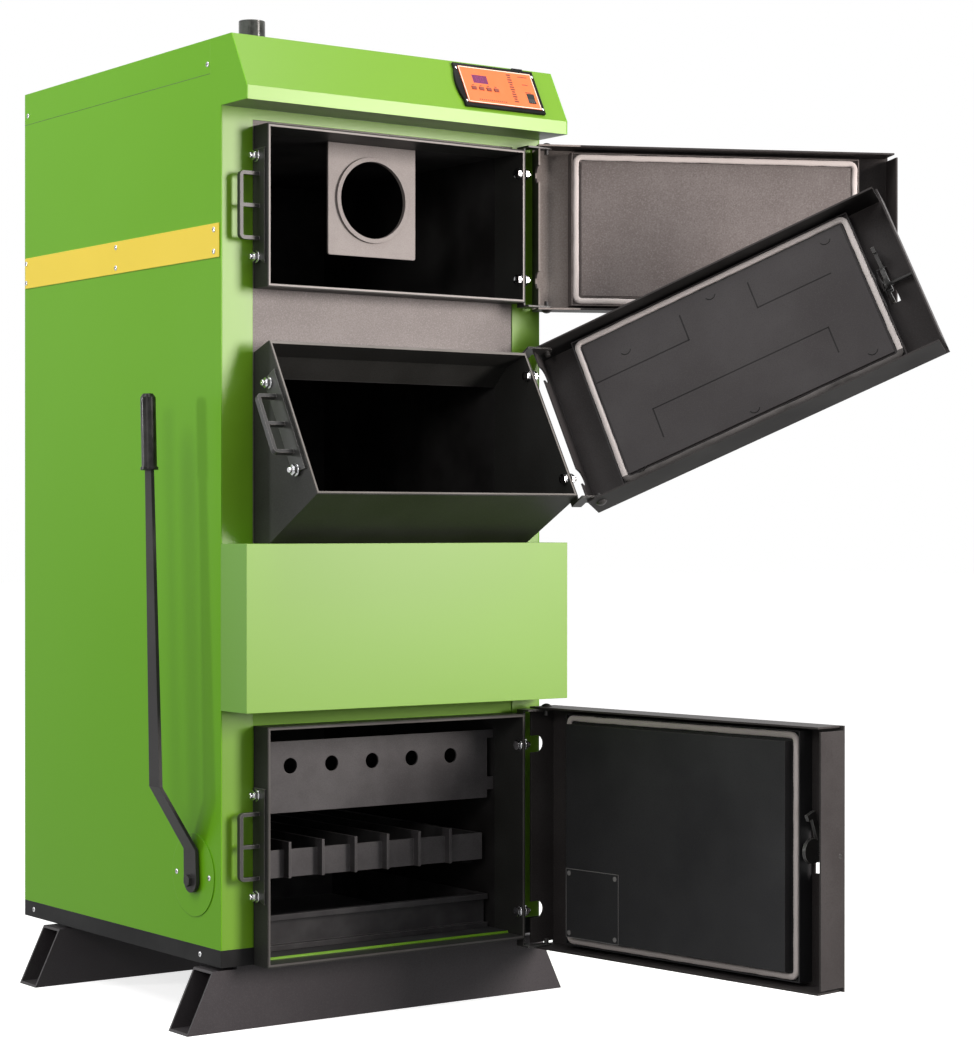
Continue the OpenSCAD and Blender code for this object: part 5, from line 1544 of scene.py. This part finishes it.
@dataclass(frozen=True)
class Lamp:
    """One soft lamp: where it hangs, the point it faces, its sides, watts and colour."""

    name: str
    place: Way
    aim: Way
    size: tuple[float, float]
    power: float
    colour: Tint = WHITE

    def hang(self) -> None:
        """Adds the lamp to the scene."""
        data = bpy.data.lights.new(self.name, "AREA")
        data.shape = "RECTANGLE"
        data.size, data.size_y = self.size
        data.energy = self.power
        data.color = self.colour
        lamp = bpy.data.objects.new(self.name, data)
        lamp.location = self.place
        lamp.rotation_mode = "QUATERNION"
        lamp.rotation_quaternion = (Vector(self.aim) - Vector(self.place)).to_track_quat("-Z", "Y")
        bpy.context.scene.collection.objects.link(lamp)


@dataclass
class Studio:
    """Camera, soft lamps and the white surroundings."""

    image: tuple[int, int] = (974, 1060)
    focal_px: float = 2583.05
    place: Way = (-2.4105, -3.6385, 0.8146)
    yaw: float = 36.037
    pitch: float = -0.092
    roll: float = 0.014
    sensor: float = 36.0
    lamps: tuple[Lamp, ...] = (
        Lamp("front_lamp", (2.3, -3.55, 1.65), (0.0, -0.3, 1.0), (1.2, 2.0), 185.0, (1.0, 0.92, 0.88)),
        Lamp("side_lamp", (-3.2, 2.2, 1.3), (-0.3, 0.1, 1.0), (0.3, 0.3), 27.0),
        Lamp("high_side_lamp", (-2.2, 0.3, 3.2), (-0.3, 0.3, 1.0), (1.4, 1.4), 38.0),
        Lamp("top_lamp", (0.3, -1.4, 4.2), (0.0, 0.0, 1.3), (2.0, 2.0), 53.0),
        Lamp("left_lamp", (-3.3, -2.4, 1.9), (0.4, -0.3, 0.7), (0.8, 0.8), 22.0, (1.0, 0.95, 0.92)),
    )
    sky: float = 0.3
    floor_bounce: float = 0.15
    floor_white: float = 0.76
    floor_reach: float = 30.0
    floor_shade: float = 0.88
    floor_parts: int = 8
    dust: float = 0.02
    dust_pitch: float = 0.8
    sight: float = 200.0

    def build(self) -> None:
        """Sets the camera, lamps, floor and world."""
        self._camera()
        for lamp in self.lamps:
            lamp.hang()
        self._floor()
        self._world()
        bpy.context.scene.view_settings.view_transform = "Standard"

    def _camera(self) -> None:
        """Stands the camera where the photograph was taken from."""
        yaw, pitch, roll = (math.radians(a) for a in (self.yaw, self.pitch, self.roll))
        ahead = Vector((math.sin(yaw) * math.cos(pitch), math.cos(yaw) * math.cos(pitch), math.sin(pitch)))
        right = Vector((math.cos(yaw), -math.sin(yaw), 0.0))
        up = right.cross(ahead)
        across = math.cos(roll) * right + math.sin(roll) * up
        over = -math.sin(roll) * right + math.cos(roll) * up
        data = bpy.data.cameras.new("camera")
        data.sensor_width = self.sensor
        data.lens = self.focal_px * self.sensor / max(self.image)
        data.clip_end = self.sight
        camera = bpy.data.objects.new("camera", data)
        turn = Matrix((across, over, -ahead)).transposed().to_4x4()
        camera.matrix_world = Matrix.Translation(self.place) @ turn
        bpy.context.scene.collection.objects.link(camera)
        bpy.context.scene.camera = camera

    def _floor(self) -> None:
        """A pale floor that reads white to the camera and keeps the boiler's shadow."""
        paint = Paint.material("white_floor")
        dusty = paint.noise(self.dust_pitch, Detail.FINE) * self.dust + paint.ray(Ray.CAMERA)
        colour = paint.mix(dusty, (self.floor_bounce,) * 3, (self.floor_shade,) * 3)
        matt = paint.node("ShaderNodeBsdfDiffuse", None, {"Color": colour}).outputs[0]
        values = {"Color": WHITE, "Strength": self.floor_white}
        white = paint.node("ShaderNodeEmission", None, values).outputs[0]
        lit = paint.node("ShaderNodeAddShader", None, {0: matt, 1: white}).outputs[0]
        mixed = paint.node("ShaderNodeMixShader", None, {0: paint.seen(), 1: matt, 2: lit}).outputs[0]
        paint.node("ShaderNodeOutputMaterial", None, {"Surface": mixed})
        grid = bmesh.new()
        parts = self.floor_parts
        bmesh.ops.create_grid(grid, x_segments=parts, y_segments=parts, size=self.floor_reach)
        mesh = bpy.data.meshes.new("floor")
        grid.to_mesh(mesh)
        grid.free()
        mesh.materials.append(paint.owner)
        floor = bpy.data.objects.new("floor", mesh)
        bpy.context.scene.collection.objects.link(floor)

    def _world(self) -> None:
        """White behind everything, and a gentler white as light."""
        world = bpy.data.worlds.new("surroundings")
        bpy.context.scene.world = world
        paint = Paint(world)
        values = {0: paint.seen(), 2: self.sky, 3: 1.0}
        mix = paint.node("ShaderNodeMix", {"data_type": "FLOAT"}, values).outputs[0]
        ground = paint.node("ShaderNodeBackground", None, {"Color": WHITE, "Strength": mix})
        paint.node("ShaderNodeOutputWorld", None, {"Surface": ground.outputs[0]})


@dataclass
class Boiler:
    """The whole boiler, in the order in which it is dressed."""

    parts: list[Assembly] = field(default_factory=lambda: [
        Casing(), Vessel(), UpperDoor(Level.UPPER, UPPER_PLATE), MiddleDoor(Level.MIDDLE, MIDDLE_PLATE),
        LowerDoor(Level.LOWER, LOWER_PLATE), ControlPanel(), FireParts(), Shaker(),
    ])

    def build(self) -> None:
        """Dresses every part and adds the pieces that it has."""
        for part in self.parts:
            part.dress()
            part.build()
            LOG.info("%s done", type(part).__name__)


def main() -> None:
    """Builds the scene."""
    logging.basicConfig(level=logging.INFO, format="%(message)s")
    Boiler().build()
    Studio().build()
    bpy.context.view_layer.update()


if __name__ == "__main__":
    main()
